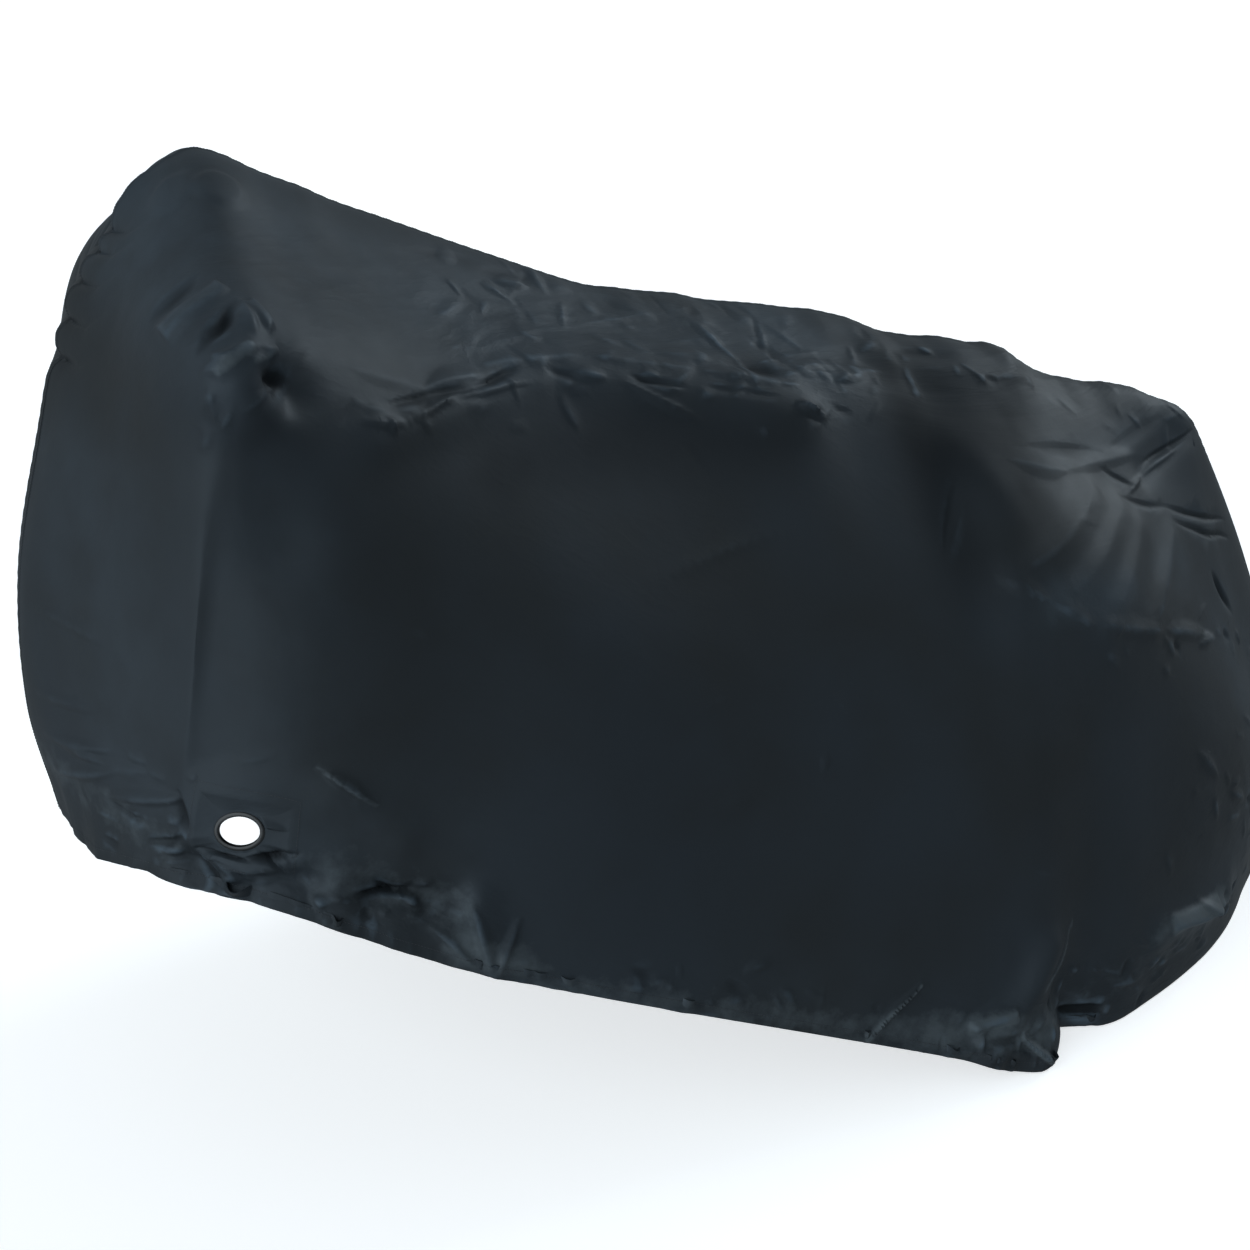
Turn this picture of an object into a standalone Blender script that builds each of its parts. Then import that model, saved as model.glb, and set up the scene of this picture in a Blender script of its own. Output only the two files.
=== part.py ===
"""Bicycle cover: two side panels of thin coated cloth, sewn together along one seam that runs
up the front, along the top ridge and down the rear, in the shape in which the cover hangs.

Metres. +X runs to the rear, +Y to the far side and +Z up. The origin is at the bottom centre
of the cover's box, so the rear hem just touches the ground at z = 0.
"""
import math

import bpy
import numpy as np

# ------------------------------------------------------------------ driving sizes

CLOTH = 0.002            # a panel: coated cloth with its small wrinkles
PATCH = 0.003            # the doubled strip that holds a lock eyelet
GAP = 0.0003             # between pieces that touch

# The bare hem and seam outline of the cover, measured along the ground from the nose.
# One row for each upright section, front to rear. x is the distance from the nose, z the height
# and w the half width, at the hem, at the shoulder (where top turns into side) and at the seam
# on top. w_low and w_mid are the half widths 30% and 65% of the way up the side. centre is how
# far the seam lies off the middle, bow how far the side leans out along x between its ends, and
# bow_top the same for the top.
COLUMNS = ("x_hem", "z_hem", "w_hem", "w_low", "w_mid", "x_sh", "z_sh", "w_sh",
           "x_top", "z_top", "centre", "bow", "bow_top")
SECTIONS = (
    (0.028, 0.413, 0.000, 0.000, 0.000, 0.055, 0.900, 0.000, 0.203, 1.209, 0.10, -0.033, -0.018),
    (0.044, 0.411, 0.150, 0.150, 0.150, 0.108, 0.970, 0.160, 0.225, 1.222, 0.10, -0.022, -0.012),
    (0.079, 0.431, 0.250, 0.300, 0.320, 0.155, 1.030, 0.320, 0.250, 1.236, 0.10, 0.014, 0.000),
    (0.121, 0.430, 0.322, 0.362, 0.385, 0.228, 1.060, 0.400, 0.288, 1.242, 0.10, 0.000, 0.000),
    (0.226, 0.414, 0.402, 0.405, 0.405, 0.330, 1.020, 0.360, 0.363, 1.203, 0.10, 0.000, 0.000),
    (0.415, 0.324, 0.450, 0.430, 0.400, 0.480, 0.965, 0.300, 0.502, 1.149, 0.10, 0.000, 0.000),
    (0.609, 0.250, 0.485, 0.455, 0.400, 0.640, 0.955, 0.225, 0.651, 1.089, 0.10, 0.000, 0.000),
    (0.830, 0.160, 0.495, 0.460, 0.385, 0.830, 0.925, 0.215, 0.825, 1.024, 0.10, 0.000, 0.000),
    (1.000, 0.095, 0.510, 0.470, 0.385, 0.990, 0.890, 0.240, 0.956, 1.000, 0.10, 0.000, 0.000),
    (1.120, 0.045, 0.510, 0.470, 0.385, 1.100, 0.875, 0.215, 1.090, 0.980, 0.09, 0.000, 0.000),
    (1.205, 0.008, 0.506, 0.465, 0.390, 1.205, 0.820, 0.225, 1.230, 0.945, 0.07, 0.000, 0.000),
    (1.262, 0.000, 0.498, 0.455, 0.395, 1.290, 0.745, 0.280, 1.360, 0.917, 0.05, 0.000, 0.000),
    (1.340, 0.000, 0.440, 0.430, 0.390, 1.385, 0.665, 0.310, 1.475, 0.876, 0.05, 0.000, 0.000),
    (1.440, 0.000, 0.425, 0.415, 0.370, 1.500, 0.590, 0.300, 1.590, 0.832, 0.04, 0.000, 0.000),
    (1.660, 0.000, 0.325, 0.335, 0.315, 1.650, 0.520, 0.240, 1.690, 0.806, 0.03, 0.000, 0.000),
    (1.830, 0.000, 0.190, 0.210, 0.205, 1.790, 0.470, 0.150, 1.755, 0.785, 0.01, 0.010, 0.000),
    (2.000, 0.000, 0.000, 0.000, 0.000, 1.905, 0.530, 0.000, 1.786, 0.756, 0.00, 0.040, -0.008),
)
LOW, MID = 0.30, 0.65    # how far up the side w_low and w_mid are taken
CROWN = 0.60             # how far the crown, halfway in from the shoulder, has risen to the seam
FAR_WIDTH = 0.93         # the hidden side is a little slimmer

# Mesh columns between neighbouring sections, and mesh rows between neighbouring levels
# (hem, low, mid, shoulder, crown, seam).
SPAN_COLUMNS = (4, 4, 4, 4, 3, 3, 3, 3, 3, 3, 3, 3, 3, 3, 3, 3)
SPAN_ROWS = (4, 3, 4, 5, 5)

# Folds: soft ridges (height above 0) and troughs (below 0) from one point to the other, both
# taken along x and z as seen from the side.
NEAR, BOTH, FAR = -1, 0, 1
FOLD_COLUMNS = ("side", "x0", "z0", "x1", "z1", "width", "height")
FOLDS = (
    (NEAR, 0.230, 1.060, 0.235, 1.062, 0.055, 0.030),    # blunt end pushing the cloth out
    (NEAR, 0.262, 1.048, 0.288, 1.030, 0.024, -0.022),   # hollow behind it
    (NEAR, 0.170, 1.070, 0.225, 1.120, 0.035, 0.012),    # tent fold above it
    (NEAR, 0.236, 1.175, 0.232, 1.130, 0.040, -0.005),   # slack between the hump and the blunt end
    (NEAR, 0.240, 0.960, 0.260, 0.860, 0.045, -0.010),   # shadowed fold below it
    (NEAR, 0.390, 0.960, 0.640, 0.965, 0.030, 0.010),    # shoulder fold, front half
    (NEAR, 0.700, 0.965, 1.010, 0.890, 0.030, 0.010),    # shoulder fold, middle
    (NEAR, 1.335, 0.800, 1.262, 0.672, 0.030, 0.009),    # front edge of the rear facet
    (NEAR, 1.240, 0.860, 1.190, 0.740, 0.045, -0.007),   # shadowed dip in front of it
    (NEAR, 1.480, 0.718, 1.285, 0.665, 0.022, 0.006),    # rear flutes, side by side
    (NEAR, 1.530, 0.690, 1.350, 0.622, 0.022, 0.006),
    (NEAR, 1.560, 0.662, 1.425, 0.575, 0.022, 0.006),
    (NEAR, 1.643, 0.630, 1.530, 0.550, 0.024, 0.005),
    (NEAR, 1.780, 0.758, 1.630, 0.722, 0.020, -0.007),   # crease from the rear top corner
    (NEAR, 0.130, 0.462, 0.250, 0.450, 0.022, -0.016),   # dark crease under the eyelet
    (NEAR, 0.330, 0.430, 0.420, 0.410, 0.024, -0.014),   # next crease along the hem
    (NEAR, 0.300, 0.560, 0.370, 0.500, 0.030, 0.010),    # bright crease behind the eyelet
    (NEAR, 0.450, 0.400, 0.465, 0.310, 0.024, 0.008),    # hem pucker
    (NEAR, 1.160, 0.030, 1.270, 0.170, 0.026, 0.014),    # fold in the rear hem corner
    (NEAR, 1.300, 0.090, 1.340, 0.000, 0.030, -0.016),   # dark pocket behind the corner
    (NEAR, 1.500, 0.110, 1.680, 0.098, 0.030, 0.014),    # creased patch low at the rear
    (NEAR, 0.226, 1.214, 0.230, 1.214, 0.034, 0.004),    # round knob at the hump, front
    (NEAR, 0.288, 1.218, 0.292, 1.218, 0.036, 0.006),    # round knob at the hump, rear
    (BOTH, 0.330, 1.220, 0.400, 1.190, 0.040, 0.006),    # slack humps along the top seam
    (BOTH, 0.850, 1.015, 0.930, 1.003, 0.035, 0.006),
    (BOTH, 1.150, 0.966, 1.190, 0.958, 0.030, 0.005),
    (BOTH, 1.260, 0.935, 1.300, 0.930, 0.030, -0.006),
    (BOTH, 1.430, 0.895, 1.450, 0.890, 0.028, 0.010),
    (BOTH, 1.520, 0.860, 1.540, 0.850, 0.025, -0.005),
    (BOTH, 1.640, 0.820, 1.680, 0.810, 0.030, 0.007),
    (FAR, 0.240, 1.060, 0.245, 1.060, 0.055, 0.010),     # the same on the far side
    (FAR, 0.420, 0.960, 0.660, 0.950, 0.035, 0.012),
    (FAR, 0.300, 0.800, 0.520, 0.560, 0.060, -0.014),
    (FAR, 0.800, 0.860, 1.040, 0.600, 0.060, 0.014),
    (FAR, 1.100, 0.700, 1.260, 0.300, 0.060, -0.014),
    (FAR, 1.400, 0.760, 1.560, 0.420, 0.050, 0.014),
    (FAR, 0.480, 0.420, 0.500, 0.300, 0.030, 0.012),
    (FAR, 1.200, 0.160, 1.260, 0.020, 0.030, 0.014),
)
SEAM_FADE = 0.05         # one-sided folds die away this close to the seam

# The puckered seam at the upper front, and the elastic gathers along the hem.
PUCKER_FROM, PUCKER_TO = 1.00, 1.16   # heights between which the front seam is drawn in
PUCKER_PITCH = 0.042
PUCKER_DEPTH = 0.007
PUCKER_REACH = 0.07                   # how far the puckers run into each panel
GATHER_TO = 0.50                      # the front of the hem, up to this x, is elasticated
GATHER_PITCH = 0.075
GATHER_DEPTH = 0.0025
GATHER_RISE = 0.09                    # how far up from the hem the gathers show
TUCK_X, TUCK_WIDTH, TUCK_LIFT = 1.305, 0.028, 0.028   # the hem lifts behind its rear corner

# The lock eyelet: an oval ring through an oblong window in each panel.
PATCH_COLUMNS = (12, 16)       # mesh columns and rows that the strip takes out of its panel
PATCH_ROWS = (1, 3)
EDGE_STEPS = 3                 # points along each mesh edge of the window
BORE_LONG, BORE_HIGH = 0.050, 0.038   # clear opening of the ring
RING_WALL = 0.0015
RING_FLANGE = 0.006            # flange width out from the bore
RING_SHEET = 0.0014            # flange thickness
FLAT_RIM = 0.009               # the strip is flat this far out from the bore
EYELET_CALM = 0.060            # folds die away this close to the eyelet

CLOTH_COLOUR = (0.020, 0.024, 0.029, 1.0)
RING_COLOUR = (0.008, 0.009, 0.010, 1.0)


# ------------------------------------------------------------------ the draped surface

def section_points(row, side):
    """The six level points of one section, hem to seam, on one side."""
    s = dict(zip(COLUMNS, row))
    scale = FAR_WIDTH if side == FAR else 1.0
    x = [s["x_hem"], s["x_hem"] + LOW * (s["x_sh"] - s["x_hem"]) + s["bow"],
         s["x_hem"] + MID * (s["x_sh"] - s["x_hem"]) + s["bow"], s["x_sh"],
         (s["x_sh"] + s["x_top"]) / 2 + s["bow_top"], s["x_top"]]
    z = [s["z_hem"], s["z_hem"] + LOW * (s["z_sh"] - s["z_hem"]),
         s["z_hem"] + MID * (s["z_sh"] - s["z_hem"]), s["z_sh"],
         s["z_sh"] + CROWN * (s["z_top"] - s["z_sh"]), s["z_top"]]
    w = [s["w_hem"], s["w_low"], s["w_mid"], s["w_sh"], s["w_sh"] / 2, 0.0]
    points = []
    for px, pz, pw in zip(x, z, w):
        rise = (pz - s["z_hem"]) / (s["z_top"] - s["z_hem"])
        middle = s["centre"] * (0.5 + 0.5 * rise)
        points.append((px, middle + side * pw * scale, pz))
    return points


def smooth(points, before, after, spans):
    """A Catmull-Rom curve through points (first axis), with spans[k] steps in span k."""
    chain = np.concatenate(([before], points, [after]))
    steps = []
    for k, count in enumerate(spans):
        a, b, c, d = chain[k:k + 4]
        for t in np.arange(count) / count:
            steps.append(0.5 * (2 * b + (c - a) * t + (2 * a - 5 * b + 4 * c - d) * t ** 2
                                + (3 * b - a - 3 * c + d) * t ** 3))
    steps.append(points[-1])
    return np.array(steps)


def draped_surface():
    """Both sides as grids of points, [column][row], with one shared seam and no folds yet."""
    nets = {side: np.array([section_points(row, side) for row in SECTIONS])
            for side in (NEAR, FAR)}
    # Each side runs on into the other across the seam, so the cover is round there.
    long = {side: smooth(nets[side], nets[-side][1], nets[-side][-2], SPAN_COLUMNS)
            for side in (NEAR, FAR)}
    grids = {}
    for side in (NEAR, FAR):
        net = long[side].transpose(1, 0, 2)
        below = 2 * net[0] - net[1]
        beyond = long[-side][:, -2]
        grids[side] = smooth(net, below, beyond, SPAN_ROWS).transpose(1, 0, 2)
    return grids


def grid_normals(grids):
    """Outward unit normals of both grids, shared along the seam."""
    normals = {}
    for side, grid in grids.items():
        along = np.gradient(grid, axis=0)
        up = np.gradient(grid, axis=1)
        normals[side] = np.cross(along, up) * -side
    for edge in (np.s_[0, :], np.s_[-1, :], np.s_[:, -1]):
        shared = normals[NEAR][edge] + normals[FAR][edge]
        normals[NEAR][edge] = shared
        normals[FAR][edge] = shared
    for side in (NEAR, FAR):
        field = normals[side]
        for end, inside in ((0, 1), (-1, -2)):
            # Both grid lines run along the seam at a top corner, so its neighbours set the normal.
            field[end, -1] = sum(n / np.linalg.norm(n) for n in (field[end, -2], field[inside, -1]))
        normals[side] = field / np.linalg.norm(field, axis=2, keepdims=True)
    return normals


def seam_distance(grid, other):
    """How far each point of a grid is from the seam, across the cover."""
    top = (grid[:, -1:, 1] + other[:, -1:, 1]) / 2
    return np.abs(grid[..., 1] - top)


def ease(t):
    """0 to 1 with level ends."""
    t = np.clip(t, 0.0, 1.0)
    return t * t * (3 - 2 * t)


def fold_height(grid, sides, eyelet):
    """The height, at each point of a grid, of all folds listed for these sides."""
    x, z = grid[..., 0], grid[..., 2]
    height = np.zeros(x.shape)
    for row in FOLDS:
        fold = dict(zip(FOLD_COLUMNS, row))
        if fold["side"] not in sides:
            continue
        run = np.array((fold["x1"] - fold["x0"], fold["z1"] - fold["z0"]))
        away_x, away_z = x - fold["x0"], z - fold["z0"]
        along = np.clip((away_x * run[0] + away_z * run[1]) / (run @ run), 0.0, 1.0)
        apart = np.hypot(away_x - along * run[0], away_z - along * run[1])
        height += fold["height"] * np.exp(-(apart / fold["width"]) ** 2)
    calm = ease(np.linalg.norm(grid - eyelet, axis=2) / EYELET_CALM - 0.6)
    return height * calm


def hem_run(grid):
    """Distance along the hem from the nose, for each column."""
    steps = np.linalg.norm(np.diff(grid[:, 0], axis=0), axis=1)
    return np.concatenate(([0.0], np.cumsum(steps)))


def add_folds(grids, eyelets):
    """Push both grids out along their normals by the folds, puckers and gathers."""
    normals = grid_normals(grids)
    shapes = {}
    for side, grid in grids.items():
        x, z = grid[..., 0], grid[..., 2]
        from_seam = seam_distance(grid, grids[-side])
        height = fold_height(grid, (side,), eyelets[side]) * ease(from_seam / SEAM_FADE)
        height += fold_height(grid, (BOTH,), eyelets[side])

        front = np.hypot(grid[..., 0] - grid[:1, :, 0], grid[..., 1] - grid[:1, :, 1])
        band = ease((z - PUCKER_FROM) / 0.03) * ease((PUCKER_TO - z) / 0.03)
        wave = 0.5 - 0.5 * np.cos(2 * math.pi * (z - PUCKER_FROM) / PUCKER_PITCH)
        height -= PUCKER_DEPTH * wave * band * np.exp(-(front / PUCKER_REACH) ** 2)

        above = z - grid[:, :1, 2]
        run = hem_run(grid)[:, None]
        calm = ease((GATHER_TO - x) / 0.10)
        calm = calm * ease(np.linalg.norm(grid - eyelets[side], axis=2) / EYELET_CALM - 0.6)
        ripple = np.sin(2 * math.pi * run / GATHER_PITCH) * ease(run / GATHER_PITCH)
        height += GATHER_DEPTH * ripple * calm * np.exp(-(above / GATHER_RISE) ** 2)

        shape = grid + normals[side] * height[..., None]
        lift = TUCK_LIFT * np.exp(-((x - TUCK_X) / TUCK_WIDTH) ** 2) * np.exp(-above / 0.10)
        shape[..., 2] += lift
        shapes[side] = shape
    return shapes


# ------------------------------------------------------------------ sheets and rings

def halved(quads, points):
    """Each quad cut along its shorter diagonal, so a sheet's two faces bend along the same line."""
    triangles = []
    for a, b, c, d in quads:
        if np.linalg.norm(points[a] - points[c]) <= np.linalg.norm(points[b] - points[d]):
            triangles += [(a, b, c), (a, c, d)]
        else:
            triangles += [(a, b, d), (b, c, d)]
    return triangles


def sheet_mesh(name, outer, inner, quads):
    """A closed sheet: its outer and inner faces and a wall round every open edge."""
    count = len(outer)
    skin = halved(quads, outer)
    faces = skin + [tuple(v + count for v in reversed(face)) for face in skin]
    edges = {(face[k - 1], face[k]) for face in skin for k in range(3)}
    for a, b in sorted(edges):
        if (b, a) not in edges:
            faces.append((b, a, a + count, b + count))
    mesh = bpy.data.meshes.new(name)
    mesh.from_pydata(np.concatenate((outer, inner)).tolist(), [], faces)
    mesh.validate()
    return mesh


def used_points(outer, inner, quads):
    """Drop the points that no face uses."""
    used = sorted({v for q in quads for v in q})
    place = {v: k for k, v in enumerate(used)}
    return outer[used], inner[used], [[place[v] for v in q] for q in quads]


def panel_mesh(name, shape, normal, side):
    """One side panel with its window for the eyelet strip."""
    columns, rows = shape.shape[:2]
    outer = shape.copy()
    for edge in (np.s_[0, :], np.s_[-1, :], np.s_[:, -1]):
        outer[edge][..., 1] += side * GAP / 2
    inner = outer - normal * CLOTH
    quads = []
    for i in range(columns - 1):
        for j in range(rows - 1):
            in_window = (PATCH_COLUMNS[0] <= i < PATCH_COLUMNS[1]
                         and PATCH_ROWS[0] <= j < PATCH_ROWS[1])
            if in_window:
                continue
            a, b = i * rows + j, (i + 1) * rows + j
            quad = [a, b, b + 1, a + 1]
            quads.append(quad if side == NEAR else quad[::-1])
    flat = (-1, 3)
    return sheet_mesh(name, *used_points(outer.reshape(flat), inner.reshape(flat), quads))


def window_loop(shape, normal):
    """Points and normals round the window, from its lower front corner towards the rear."""
    (c0, c1), (r0, r1) = PATCH_COLUMNS, PATCH_ROWS
    nodes = [(i, r0) for i in range(c0, c1)] + [(c1, j) for j in range(r0, r1)]
    nodes += [(i, r1) for i in range(c1, c0, -1)] + [(c0, j) for j in range(r1, r0, -1)]
    points, normals = [], []
    for a, b in zip(nodes, nodes[1:] + nodes[:1]):
        for t in np.arange(EDGE_STEPS) / EDGE_STEPS:
            points.append((1 - t) * shape[a] + t * shape[b])
            normals.append((1 - t) * normal[a] + t * normal[b])
    return np.array(points), np.array(normals)


def eyelet_axes(points, normals):
    """Centre, long direction, high direction and outward normal of the strip."""
    centre = points.mean(axis=0)
    out = normals.mean(axis=0)
    out /= np.linalg.norm(out)
    level = np.cross((0.0, 0.0, 1.0), out)
    level /= np.linalg.norm(level)
    hem = points[len(points) // 4] - points[0]
    long = hem - out * (hem @ out)
    long /= np.linalg.norm(long)
    if long @ level < 0:
        long = -long
    return centre, long, np.cross(out, long), out


def window_angles(points, axes):
    """The bore angle that each window point looks at, so strip and ring share their corners."""
    centre, long, high, _ = axes
    return [math.atan2((p - centre) @ high / BORE_HIGH, (p - centre) @ long / BORE_LONG)
            for p in points]


def oval(axes, angle, offset, height):
    """A point at an angle round the bore, offset outwards and raised off the strip's middle."""
    centre, long, high, out = axes
    a, b = BORE_LONG / 2, BORE_HIGH / 2
    ca, sa = math.cos(angle), math.sin(angle)
    nx, ny = b * ca, a * sa
    size = math.hypot(nx, ny)
    return (centre + long * (a * ca + offset * nx / size)
            + high * (b * sa + offset * ny / size) + out * height)


def patch_mesh(name, shape, normal, side):
    """The eyelet strip: it fills its window, and has an oval hole for the ring."""
    points, normals = window_loop(shape, normal)
    axes = eyelet_axes(points, normals)
    centre, out = axes[0], axes[3]
    count = len(points)
    towards = centre - points
    towards /= np.linalg.norm(towards, axis=1, keepdims=True)
    border = points + towards * GAP * 1.5
    angles = window_angles(points, axes)
    rim = [oval(axes, angle, FLAT_RIM, 0.0) for angle in angles]
    hole = [oval(axes, angle, RING_WALL + GAP, 0.0) for angle in angles]
    flat_out = np.tile(out, (count, 1))
    outer = np.concatenate((border, rim, hole))
    inner = outer - np.concatenate((normals, flat_out, flat_out)) * PATCH
    quads = []
    for ring in range(2):
        for k in range(count):
            a, b = ring * count + k, ring * count + (k + 1) % count
            quad = [a, b, b + count, a + count]
            quads.append(quad if side == NEAR else quad[::-1])
    return sheet_mesh(name, outer, inner, quads)


def ring_mesh(name, shape, normal):
    """The eyelet: a barrel through the strip with a flange on each face."""
    window = window_loop(shape, normal)
    centre, long, high, out = eyelet_axes(*window)
    axes = (centre - out * PATCH / 2, long, high, out)
    angles = sorted(window_angles(window[0], axes))
    inside = PATCH / 2 + GAP
    outside = inside + RING_SHEET
    profile = ((0.0, outside * 0.8), (0.0012, outside), (RING_FLANGE * 0.8, outside),
               (RING_FLANGE, inside), (RING_WALL, inside), (RING_WALL, -inside),
               (RING_FLANGE, -inside), (RING_FLANGE * 0.8, -outside), (0.0012, -outside),
               (0.0, -outside * 0.8))
    points = [oval(axes, angle, offset, height)
              for angle in angles for offset, height in profile]
    size, steps = len(profile), len(angles)
    faces = []
    for k in range(steps):
        here, there = k * size, (k + 1) % steps * size
        for m in range(size):
            after = (m + 1) % size
            faces.append((here + m, here + after, there + after, there + m))
    mesh = bpy.data.meshes.new(name)
    mesh.from_pydata([tuple(p) for p in points], [], faces)
    return mesh


# ------------------------------------------------------------------ objects

def material(name, colour, roughness, metallic=0.0):
    made = bpy.data.materials.new(name)
    made.use_nodes = True
    shader = made.node_tree.nodes["Principled BSDF"]
    shader.inputs["Base Color"].default_value = colour
    shader.inputs["Roughness"].default_value = roughness
    shader.inputs["Metallic"].default_value = metallic
    return made


def place(mesh, look):
    """Add a mesh to the scene as an object of its own name."""
    mesh.shade_smooth()
    mesh.set_sharp_from_angle(angle=math.radians(40))
    thing = bpy.data.objects.new(mesh.name, mesh)
    thing.data.materials.append(look)
    bpy.context.scene.collection.objects.link(thing)
    return thing


def main():
    for thing in list(bpy.data.objects):
        bpy.data.objects.remove(thing)

    plain = draped_surface()
    middle = ((PATCH_COLUMNS[0] + PATCH_COLUMNS[1]) // 2, (PATCH_ROWS[0] + PATCH_ROWS[1]) // 2)
    eyelets = {side: grid[middle] for side, grid in plain.items()}
    shapes = add_folds(plain, eyelets)

    ends = np.concatenate([shape.reshape(-1, 3) for shape in shapes.values()])
    low, high = ends.min(axis=0), ends.max(axis=0)
    origin = np.array(((low[0] + high[0]) / 2, (low[1] + high[1]) / 2, low[2]))
    shapes = {side: shape - origin for side, shape in shapes.items()}
    normals = grid_normals(shapes)

    cloth = material("coated_cloth", CLOTH_COLOUR, 0.45)
    moulded = material("eyelet_plastic", RING_COLOUR, 0.4)
    for side, word in ((NEAR, "near"), (FAR, "far")):
        shape, normal = shapes[side], normals[side]
        place(panel_mesh(word + "_side_panel", shape, normal, side), cloth)
        place(patch_mesh(word + "_lock_patch", shape, normal, side), cloth)
        place(ring_mesh(word + "_eyelet", shape, normal), moulded)


main()
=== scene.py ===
"""Bicycle cover: the looks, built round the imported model.

Two thin coated-cloth panels with their creases, a sewn seam, a turned and elasticated hem, and an
oval lock eyelet in a doubled strip on each side. Laid out as an add-on and run as a script.
Metres, +X to the rear, +Z up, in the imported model's own frame.
"""
import functools
import math

import bmesh
import bpy
import numpy as np
from mathutils import Euler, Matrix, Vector


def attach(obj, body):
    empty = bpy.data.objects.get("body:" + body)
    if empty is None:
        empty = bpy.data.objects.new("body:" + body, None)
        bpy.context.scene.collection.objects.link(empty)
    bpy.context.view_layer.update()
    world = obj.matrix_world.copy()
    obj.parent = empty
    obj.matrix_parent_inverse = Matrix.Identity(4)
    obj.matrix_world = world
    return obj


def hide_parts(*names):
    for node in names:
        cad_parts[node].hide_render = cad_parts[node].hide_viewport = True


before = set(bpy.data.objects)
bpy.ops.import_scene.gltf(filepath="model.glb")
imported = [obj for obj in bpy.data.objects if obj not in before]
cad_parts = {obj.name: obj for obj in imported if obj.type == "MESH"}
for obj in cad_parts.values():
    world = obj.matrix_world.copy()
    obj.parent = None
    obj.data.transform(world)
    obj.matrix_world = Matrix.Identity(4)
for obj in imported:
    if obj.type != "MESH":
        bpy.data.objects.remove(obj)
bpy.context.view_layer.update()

bl_info = {
    "name": "Bicycle Cover",
    "version": (1, 0, 0),
    "blender": (4, 5, 0),
    "location": "View3D > Sidebar > Cover",
    "description": "Draped bicycle cover of thin coated cloth with a sewn seam and lock eyelets",
    "category": "Add Mesh",
}

NEAR, BOTH, FAR = -1, 0, 1
SIDES = (NEAR, FAR)
WORDS = {NEAR: "near", FAR: "far"}

# ------------------------------------------------------------------ the draped shape

# One row for each upright section of the cover, front to rear, in metres. x is the distance from
# the nose, z the height and w the half width, at the hem, at the shoulder and at the seam on top.
# centre is the seam's y on top, and bow how far the section bends along x below the shoulder and
# above it.
COLUMNS = ("x_hem", "z_hem", "w_hem", "w_low", "w_mid", "x_sh", "z_sh", "w_sh",
           "x_top", "z_top", "centre", "bow", "bow_top")
SECTIONS = (
    (0.028, 0.413, 0.000, 0.000, 0.000, 0.055, 0.900, 0.000, 0.203, 1.209, 0.10, -0.033, -0.018),
    (0.044, 0.411, 0.150, 0.150, 0.150, 0.108, 0.970, 0.160, 0.225, 1.222, 0.10, -0.022, -0.012),
    (0.079, 0.431, 0.250, 0.320, 0.348, 0.155, 1.030, 0.320, 0.250, 1.236, 0.10, 0.014, 0.000),
    (0.121, 0.430, 0.322, 0.362, 0.385, 0.228, 1.060, 0.400, 0.288, 1.242, 0.10, 0.000, 0.000),
    (0.226, 0.414, 0.402, 0.405, 0.405, 0.330, 1.020, 0.360, 0.363, 1.203, 0.10, 0.000, 0.000),
    (0.415, 0.324, 0.450, 0.430, 0.400, 0.480, 0.965, 0.300, 0.502, 1.149, 0.10, 0.000, 0.000),
    (0.609, 0.250, 0.485, 0.455, 0.400, 0.640, 0.955, 0.225, 0.651, 1.089, 0.10, 0.000, 0.000),
    (0.830, 0.160, 0.495, 0.460, 0.385, 0.830, 0.925, 0.215, 0.825, 1.024, 0.10, 0.000, 0.000),
    (1.000, 0.095, 0.510, 0.470, 0.385, 0.990, 0.890, 0.240, 0.956, 1.000, 0.10, 0.000, 0.000),
    (1.120, 0.045, 0.510, 0.470, 0.385, 1.100, 0.875, 0.215, 1.090, 0.980, 0.09, 0.000, 0.000),
    (1.205, 0.008, 0.506, 0.465, 0.390, 1.205, 0.820, 0.225, 1.230, 0.945, 0.07, 0.000, 0.000),
    (1.262, 0.000, 0.498, 0.455, 0.395, 1.290, 0.745, 0.280, 1.360, 0.917, 0.05, 0.000, 0.000),
    (1.340, 0.000, 0.440, 0.430, 0.390, 1.385, 0.665, 0.310, 1.475, 0.876, 0.05, 0.000, 0.000),
    (1.440, 0.000, 0.425, 0.415, 0.370, 1.500, 0.590, 0.300, 1.590, 0.832, 0.04, 0.000, 0.000),
    (1.660, 0.000, 0.325, 0.335, 0.315, 1.650, 0.520, 0.240, 1.690, 0.806, 0.03, 0.000, 0.000),
    (1.830, 0.000, 0.190, 0.210, 0.205, 1.790, 0.470, 0.150, 1.755, 0.785, 0.01, 0.010, 0.000),
    (2.000, 0.000, 0.000, 0.000, 0.000, 1.905, 0.530, 0.000, 1.786, 0.756, 0.00, 0.040, -0.008),
)
LOW, MID = 0.30, 0.65        # levels between hem and shoulder, as shares of the way up
CROWN = 0.60                 # level between shoulder and seam, as a share of the way up
FAR_WIDTH = 0.93             # half widths of the far side, as a share of the near side's

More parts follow.
